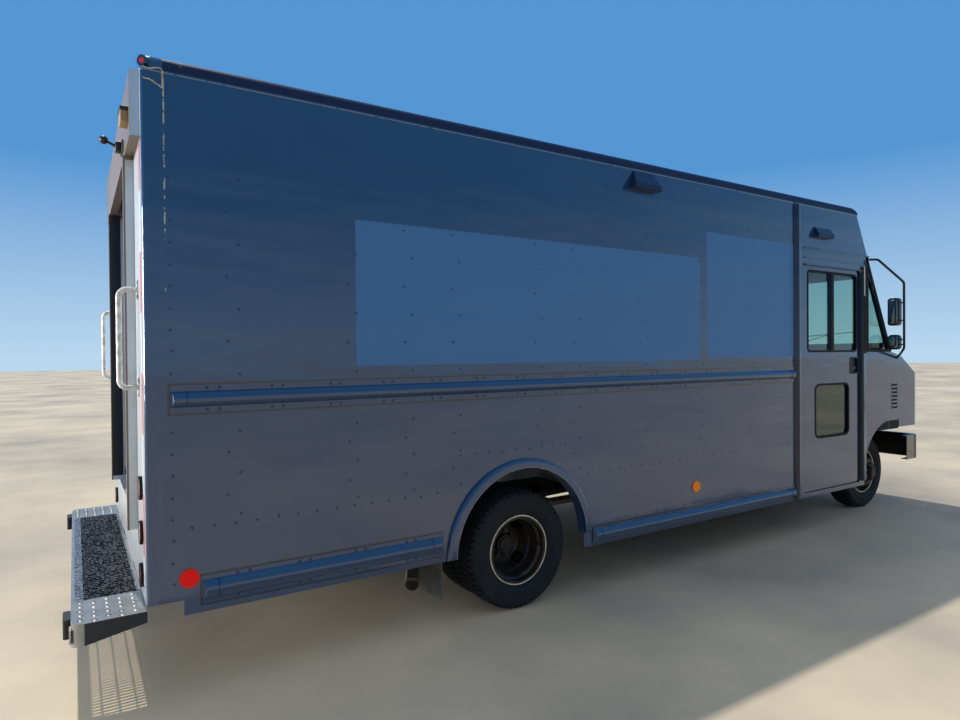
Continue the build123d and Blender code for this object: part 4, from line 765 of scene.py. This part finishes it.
door_skin, cab_skin = 1.1862, 1.2002
upper_pane = [(1.748, 1.612), (2.572, 1.612), (2.572, 2.345), (1.748, 2.345)]
lower_pane = [(1.864, 0.827), (2.433, 0.827), (2.433, 1.317), (1.864, 1.317)]
quarter_pane = [(2.75, 1.616), (3.202, 1.616), (2.75, 2.509)]
for side, hand in sides:
    outward = Matrix.Diagonal((1, hand, 1, 1))
    build = bmesh.new()
    for corners, radius in ((upper_pane, 0.045), (lower_pane, 0.07)):
        gasket(build, grown(corners, 0.005), radius, 0.017, door_skin, door_skin + 0.0033, outward)
        gasket(build, corners, radius, 0.014, door_skin - 0.015, door_skin + 0.0008, outward)
    slab(build, (2.118, hand * (door_skin - 0.0022), 1.615), (2.174, hand * (door_skin + 0.0048), 2.342), 0.002)
    finish_piece(build, "door_window_seal_" + side, glass_rubber, "cab_door_" + side, angle=35)
    build = bmesh.new()
    gasket(build, grown(quarter_pane, 0.01), 0.025, 0.028, cab_skin, cab_skin + 0.0038, outward)
    finish_piece(build, "quarter_window_seal_" + side, glass_rubber, "van_body", angle=35)

# Windscreen seals and wipers: each flat pane sits in a rubber channel on the raked face,
# with a pressed-steel wiper arm and blade parked along its foot.
screen_foot, screen_slope = (3.25, 1.6), (3.25 - 2.592) / 1.3
tilt = Matrix.Rotation(-math.atan(screen_slope), 4, "Y")
screen_mid = 2.02
half_pane = 0.34 * math.hypot(1, screen_slope)
face_x = screen_foot[0] - (screen_mid - screen_foot[1]) * screen_slope
lay = Matrix.Translation((face_x, 0, screen_mid)) @ tilt @ Matrix.Rotation(-math.pi / 2, 4, "Z")
build = bmesh.new()
for start, end in ((0.028, 1.15), (-1.15, -0.028)):
    pane = [(start, -half_pane), (end, -half_pane), (end, half_pane), (start, half_pane)]
    gasket(build, grown(pane, 0.014), 0.066, 0.032, 0.0003, 0.005, lay)
    gasket(build, pane, 0.06, 0.014, -0.0175, 0.001, lay)
finish_piece(build, "windscreen_seals", glass_rubber, "van_body", angle=35)
build = bmesh.new()
for hand in (1, -1):
    pivot = Vector((hand * 0.16, 0.02, -0.385))
    tip = Vector((hand * 0.62, 0.022, -0.25))
    slab(build, pivot - Vector((0.014, 0.02, 0.014)), pivot + Vector((0.014, 0.008, 0.014)), 0.004)
    bead(build, [pivot, pivot.lerp(tip, 0.5) + Vector((0, 0.01, 0)), tip], 0.005)
    half_blade, under_arm = Vector((hand * 0.3, 0, 0.02)), tip - Vector((0, 0.01, 0))
    bead(build, [under_arm - half_blade, under_arm + half_blade], 0.006)
bmesh.ops.transform(build, matrix=lay, verts=build.verts[:])
finish_piece(build, "wipers", black_plastic, "van_body")

# Cab doors' fittings: the latch pocket is lined with a black plastic cup. A felt-lined dark
# strip and a bright one close the door's front edge, and a white check rod shows above it.
latch_pocket = [(2.451, 1.401), (2.6, 1.401), (2.6, 1.556), (2.451, 1.556)]
white_enamel = worn_finish("white_enamel", "#dcdcd8", "#a39c90", 0.002, 0.35)
door_edge, post_edge, strip_foot, rod_top = (2.588, 2.609), (2.622, 2.676), 0.36, 2.43
edge_trim = worn_finish("pale_edge_trim", "#9aa1a8", "#6c7277", 0.002, 0.45, 0.3)
for side, hand in sides:
    outward = Matrix.Diagonal((1, hand, 1, 1))
    body = "cab_door_" + side
    build = bmesh.new()
    gasket(build, grown(latch_pocket, 0.004), 0.02, 0.012, door_skin, door_skin + 0.0023, outward)
    gasket(build, grown(latch_pocket, -0.0005), 0.018, 0.004, door_skin - 0.0212, door_skin + 0.0008, outward)
    slab(build, (2.453, hand * 1.1641, 1.403), (2.598, hand * 1.167, 1.554))
    slab(build, (2.479, hand * 1.171, 1.437), (2.582, hand * 1.18, 1.473), 0.003)
    finish_piece(build, "door_latch_" + side, black_plastic, body, angle=35)
    build = bmesh.new()
    for low, high in ((0.365, 1.39), (1.565, 2.38)):
        slab(build, (door_edge[0], hand * 1.1858, low), (door_edge[1], hand * 1.1885, high), 0.001)
    finish_piece(build, "door_edge_strip_" + side, glass_rubber, body)
    build = bmesh.new()
    slab(build, (post_edge[1], hand * cab_skin, strip_foot), (2.72, hand * (cab_skin + 0.0038), 1.59), 0.0015)
    finish_piece(build, "door_post_strip_" + side, edge_trim, "van_body")
    build = bmesh.new()
    for rear, front, low in ((*post_edge, strip_foot), (post_edge[1], 2.735, 1.595)):
        slab(build, (rear, hand * cab_skin, low), (front, hand * (cab_skin + 0.0028), rod_top), 0.001)
    finish_piece(build, "door_post_seal_" + side, glass_rubber, "van_body")
    build = bmesh.new()
    bead(build, [(2.684, hand * 1.2075, z) for z in (2.15, rod_top)], 0.006)
    finish_piece(build, "check_rod_" + side, white_enamel, "van_body")

# Cowl louvres: black wire screen behind seven slots between bars of pale pressed aluminium
# in a thin frame. The screen's mesh is too fine to draw.
build = bmesh.new()
for hand in (1, -1):
    slab(build, (3.212, hand * 1.188, 1.02), (3.338, hand * 1.1945, 1.288))
finish_piece(build, "louvre_screen", glass_rubber, "van_body", False)
build = bmesh.new()
louvre_outline = [(3.21, 1.016), (3.34, 1.016), (3.34, 1.292), (3.21, 1.292)]
for hand in (1, -1):
    for number in range(8):
        middle = 1.021 + 0.038 * number
        slab(build, (3.222, hand * cab_skin, middle - 0.007), (3.328, hand * (cab_skin + 0.002), middle + 0.007),
             0.0008)
    gasket(build, louvre_outline, 0.012, 0.007, cab_skin, cab_skin + 0.0023, Matrix.Diagonal((1, hand, 1, 1)))
finish_piece(build, "louvre_frame", edge_trim, "van_body")

# Lamps: moulded plastic lenses with fine prisms, red at the rear, amber in front and clear
# for the headlamps. Black rubber rings seal the tail lamps, and the outer part of the rear
# roof marker is painted as its socket.


def lens_finish(name, colour, rough=0.15):
    """A moulded lamp lens with fine prisms, and what a change of its colour needs."""
    material, surface, add, place = new_finish(name)
    prism = add("TexVoronoi", {"Vector": place, "Scale": 150.0})
    relief = add("Bump", {"Height": prism, "Distance": 0.001, "Strength": 0.4})
    set_inputs(surface, {"Base Color": colour, "Roughness": rough, "Transmission Weight": 0.25, "Normal": relief,
                         "Coat Weight": 0.5})
    return material, surface, add, *add("SeparateXYZ", {0: place}).outputs


reversing, marker, marker_lens = (0.74, 0.84), (-3.512, 1.192, 2.95), 0.0135
red_lens, surface, add, along, across, height = lens_finish("red_lens", "#a01812")
clear_zone = add("Math", {0: inside_span(add, height, *reversing, 0.0005),
                          1: inside_span(add, along, -3.9, -3.4, 0.001)}, operation="MULTIPLY")
reach = add("Math", {0: across}, operation="ABSOLUTE")
corner = add("CombineXYZ", {0: along, 1: reach, 2: height})
apart = add("VectorMath", {0: corner, 1: marker}, operation="DISTANCE")
socket = inside_span(add, apart.outputs["Value"], marker_lens, 0.05, 0.001)
shade = add("Mix", {0: clear_zone, 6: "#b01a12", 7: "#d9dcdd"}, data_type="RGBA")
socketed = add("Mix", {0: socket, 6: shade, 7: "#122647"}, data_type="RGBA")
set_inputs(surface, {"Base Color": socketed})
give(red_lens, "tail_lamps")
give(lens_finish("amber_lens", "#d9731a")[0], "front_markers")
clear_lens, surface, add, along, across, height = lens_finish("headlamp_glass", "#dfe2e4", 0.08)
amber_zone = inside_span(add, height, 0.8, 1.02, 0.001)
shade = add("Mix", {0: amber_zone, 6: "#d4d8da", 7: "#d9731a"}, data_type="RGBA")
set_inputs(surface, {"Base Color": shade})
give(clear_lens, "headlamps")
along_x = Matrix.Rotation(math.pi / 2, 4, "Y")
lamp_column, lamp_heights, ring_radius = 1.04, (1.0, 0.79, 0.59), 0.0525
build = bmesh.new()
for hand in (1, -1):
    for z in lamp_heights:
        peg(build, (rear_face - 0.008, hand * lamp_column, z), along_x, 40, ring_radius, 0.014, capped=False)
grommets = finish_piece(build, "tail_lamp_grommets", glass_rubber, "van_body")
thick = grommets.modifiers.new("rim", "SOLIDIFY")
thick.thickness, thick.offset = 0.006, 0.0

# Side lamp hoods and reflectors: the wedge hoods are navy-painted mouldings. The round
# reflectors under the rub rails are red at the rear and amber in front, and hardly shiny, so
# that the sky doesn't wash out their colour.
side_lamp, surface, add, along, across, height = lens_finish("side_reflector", "#b4241b")
rearward = add("MapRange", {"Value": along, "From Min": -3.0, "From Max": -2.9})
under_rails = inside_span(add, height, 0.5, 0.7, 0.001)
reflector = add("Mix", {0: rearward, 6: "#ff0c08", 7: "#ff8a1c"}, data_type="RGBA")
shade = add("Mix", {0: under_rails, 6: "#1a2b50", 7: reflector}, data_type="RGBA")
set_inputs(surface, {"Base Color": shade, "Transmission Weight": 0.0, "Roughness": 0.3, "Coat Weight": 0.0,
                     "Specular IOR Level": 0.25})
give(side_lamp, "side_lamps")

# Grab handles: bent steel tube in chipped white enamel beside the rear door, screwed on
# through small bright plates.
handle_y, plate_heights, flat_head = 0.95, (1.47, 1.94), Matrix.Diagonal((0.5, 1, 1, 1))
chipped_enamel = worn_finish("chipped_white_enamel", "#d9d9d5", "#8f887d", 0.002, 0.32, 0.0, 0.0003, 26.0)
give(chipped_enamel, "grab_handles")
build = bmesh.new()
for hand in (1, -1):
    for z in plate_heights:
        slab(build, (rear_face - 0.004, hand * handle_y - 0.024, z - 0.045),
             (rear_face + 0.001, hand * handle_y + 0.024, z + 0.045), 0.0015)
        for up in (-0.031, 0.031):
            stand = Matrix.Translation((rear_face - 0.004, hand * handle_y, z + up)) @ flat_head
            bmesh.ops.create_uvsphere(build, u_segments=10, v_segments=5, radius=0.007, matrix=stand)
finish_piece(build, "handle_plates", latch_zinc, "van_body", angle=50)

# Mud flaps: cut rubber sheet gone grey, hung behind the twin wheels from a steel clamp bar
# with three bolts.
flap_rubber = worn_finish("flap_rubber", "#4a4a48", "#6a6761", 0.003, 0.75, 0.0, 0.0006, 6.0)
give(flap_rubber, "mud_flaps")
clamp_x, clamp_low, clamp_high = -1.9925, 0.655, 0.69
build = bmesh.new()
for hand in (1, -1):
    slab(build, (clamp_x, hand * 0.69, clamp_low), (clamp_x + 0.0045, hand * 1.16, clamp_high), 0.001)
    for y in (0.75, 0.925, 1.1):
        peg(build, (clamp_x - 0.0015, hand * y, 0.672), along_x, 6, 0.009, 0.006)
finish_piece(build, "mud_flap_clamps", nut_steel, "van_body", False, 0.0008)

# Cab trim: injection-moulded dark grey plastic on the dashboard, engine cover and steering
# wheel, matt with a fine leather grain.
moulded_trim = worn_finish("moulded_trim", "#1b1c1e", "#2a2a2b", 0.0012, 0.58, 0.0, 0.0006, 5.0)
give(moulded_trim, "dashboard", "engine_cover", "steering_wheel")

# Driver's seat: foam cushions in black vinyl on a steel pedestal, with welted seams. The
# squab and the leaning back bulge between their seams and have sunk a little with use.
seat_vinyl = worn_finish("seat_vinyl", "#17181a", "#26272a", 0.0016, 0.5, 0.0, 0.0005, 7.0)
give(seat_vinyl, "seat")
pedestal_steel = worn_finish("pedestal_steel", "#1c1d1f", "#37332d", 0.002, 0.5, 0.2)
seat_y = 0.47
frames = 20
welt_y, welt_width, welt_deep = 0.13, 0.006, 0.006


def bake(target):
    """Apply the modifiers of a piece to its mesh."""
    state = bpy.context.evaluated_depsgraph_get()
    fresh = bpy.data.meshes.new_from_object(target.evaluated_get(state))
    target.modifiers.clear()
    target.data = fresh


def cushion(name, low, high, turn, crown):
    """A closed cushion between two corners, blown up from a box and laid on its turn."""
    build = bmesh.new()
    middle, size = (Vector(high) + Vector(low)) / 2, (Vector(high) - Vector(low)) * 0.94
    bmesh.ops.create_cube(build, size=1, matrix=Matrix.Translation(middle) @ Matrix.Diagonal((*size, 1)))
    bmesh.ops.bevel(build, geom=build.edges[:], offset=0.028, affect="EDGES", segments=3, profile=0.5)
    shaped = finish_piece(build, name, seat_vinyl, "van_body")
    remesh = shaped.modifiers.new("remesh", "REMESH")
    remesh.mode, remesh.voxel_size = "VOXEL", 0.006
    remesh.use_smooth_shade = True
    bake(shaped)
    cloth = shaped.modifiers.new("foam", "CLOTH")
    cloth.settings.use_pressure = True
    cloth.settings.uniform_pressure_force = 4.0
    cloth.settings.effector_weights.gravity = 0.0
    cloth.point_cache.frame_start, cloth.point_cache.frame_end = 1, frames
    still = [vert.co.copy() for vert in shaped.data.vertices]
    for count in range(1, frames + 1):
        bpy.context.scene.frame_set(count)
    bake(shaped)
    bpy.context.scene.frame_set(1)
    for vert, before in zip(shaped.data.vertices, still):
        step = vert.co - before
        if step.length > crown:
            vert.co = before + step.normalized() * crown
    build = bmesh.new()
    build.from_mesh(shaped.data)
    bmesh.ops.smooth_vert(build, verts=build.verts[:], factor=0.5, use_axis_x=True, use_axis_y=True,
                          use_axis_z=True)
    for vert in build.verts:
        away = min(abs(abs(vert.co.y - seat_y) - welt_y) / welt_width, 1.0)
        vert.co -= vert.normal * welt_deep * (1 - away)
    bmesh.ops.transform(build, matrix=turn, verts=build.verts[:])
    build.to_mesh(shaped.data)
    build.free()
    round_out = shaped.modifiers.new("fine", "SUBSURF")
    round_out.levels = round_out.render_levels = 1
    return shaped


lean = Matrix.Translation((1.865, 0, 1.21)) @ Matrix.Rotation(math.radians(-10), 4, "Y")
squab = cushion("seat_squab", (1.84, seat_y - 0.24, 1.09), (2.34, seat_y + 0.24, 1.21), Matrix.Identity(4), 0.025)
rest = cushion("seat_back", (-0.06, seat_y - 0.23, -0.03), (0.06, seat_y + 0.23, 0.64), lean, 0.022)
build = bmesh.new()
slab(build, (1.94, seat_y - 0.14, 0.77), (2.22, seat_y + 0.14, 1.1), 0.012)
pedestal = finish_piece(build, "seat_pedestal", pedestal_steel, "van_body")
for part in (squab, rest, pedestal):
    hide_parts("seat")

# Studio: dry sandy ground, a high sun, one soft panel far behind the van and a plain blue
# sky, paler at the horizon. The paint mirrors that sky, and a paler glow lights the rest.
sandy_ground = worn_finish("studio_floor", "#d0c1a7", "#9f968a", 0.01, 0.7, 0.0, 0.0, 0.35)
build = bmesh.new()
bmesh.ops.create_grid(build, x_segments=1, y_segments=1, size=90)
mesh = bpy.data.meshes.new("studio_floor")
build.to_mesh(mesh)
build.free()
ground = bpy.data.objects.new("studio_floor", mesh)
mesh.materials.append(sandy_ground)
bpy.context.scene.collection.objects.link(ground)

panel = bpy.data.lights.new("rear_panel", "AREA")
panel.shape, panel.size, panel.energy, panel.spread = "SQUARE", 3.0, 90, math.radians(34)
panel_spot, panel_target = Vector((-12.0, 1.5, 2.6)), Vector((-3.5, 0, 2.1))
sun = bpy.data.lights.new("high_sun", "SUN")
sun.energy, sun.angle, sun.color = 2.6, math.radians(1.2), (1.0, 0.95, 0.86)
to_sun = Vector((-0.12, 1.0, 2.1))
for lamp, spot, turn in ((panel, panel_spot, (panel_target - panel_spot).to_track_quat("-Z", "Y")),
                         (sun, Vector(), to_sun.to_track_quat("Z", "Y"))):
    made = bpy.data.objects.new(lamp.name, lamp)
    made.matrix_world = Matrix.Translation(spot) @ turn.to_matrix().to_4x4()
    bpy.context.scene.collection.objects.link(made)

world = bpy.data.worlds.new("open_sky")
bpy.context.scene.world = world
world.use_nodes = True
world.node_tree.nodes.clear()
add = partial(add_node, world.node_tree)
bearing = add("TexCoord", {}).outputs["Generated"]
rise = add("SeparateXYZ", {0: bearing}).outputs[2]
climb = add("MapRange", {"Value": rise, "From Min": 0.0, "From Max": 0.26})
tint = add("Mix", {0: climb, 6: "#b9d7ee", 7: "#5596d3"}, data_type="RGBA")
seen = add("Background", {"Color": tint, "Strength": 1.0})
glow = add("Background", {"Color": "#cfdff2", "Strength": 0.7})
ray = add("LightPath", {}).outputs
mirrored = add("Math", {0: ray["Is Camera Ray"], 1: ray["Is Glossy Ray"]}, operation="MAXIMUM")
direct = add("Math", {0: mirrored, 1: ray["Is Transmission Ray"]}, operation="MAXIMUM")
add("OutputWorld", {"Surface": add("MixShader", {0: direct, 1: glow, 2: seen})})
bpy.context.scene.view_settings.view_transform = "Standard"
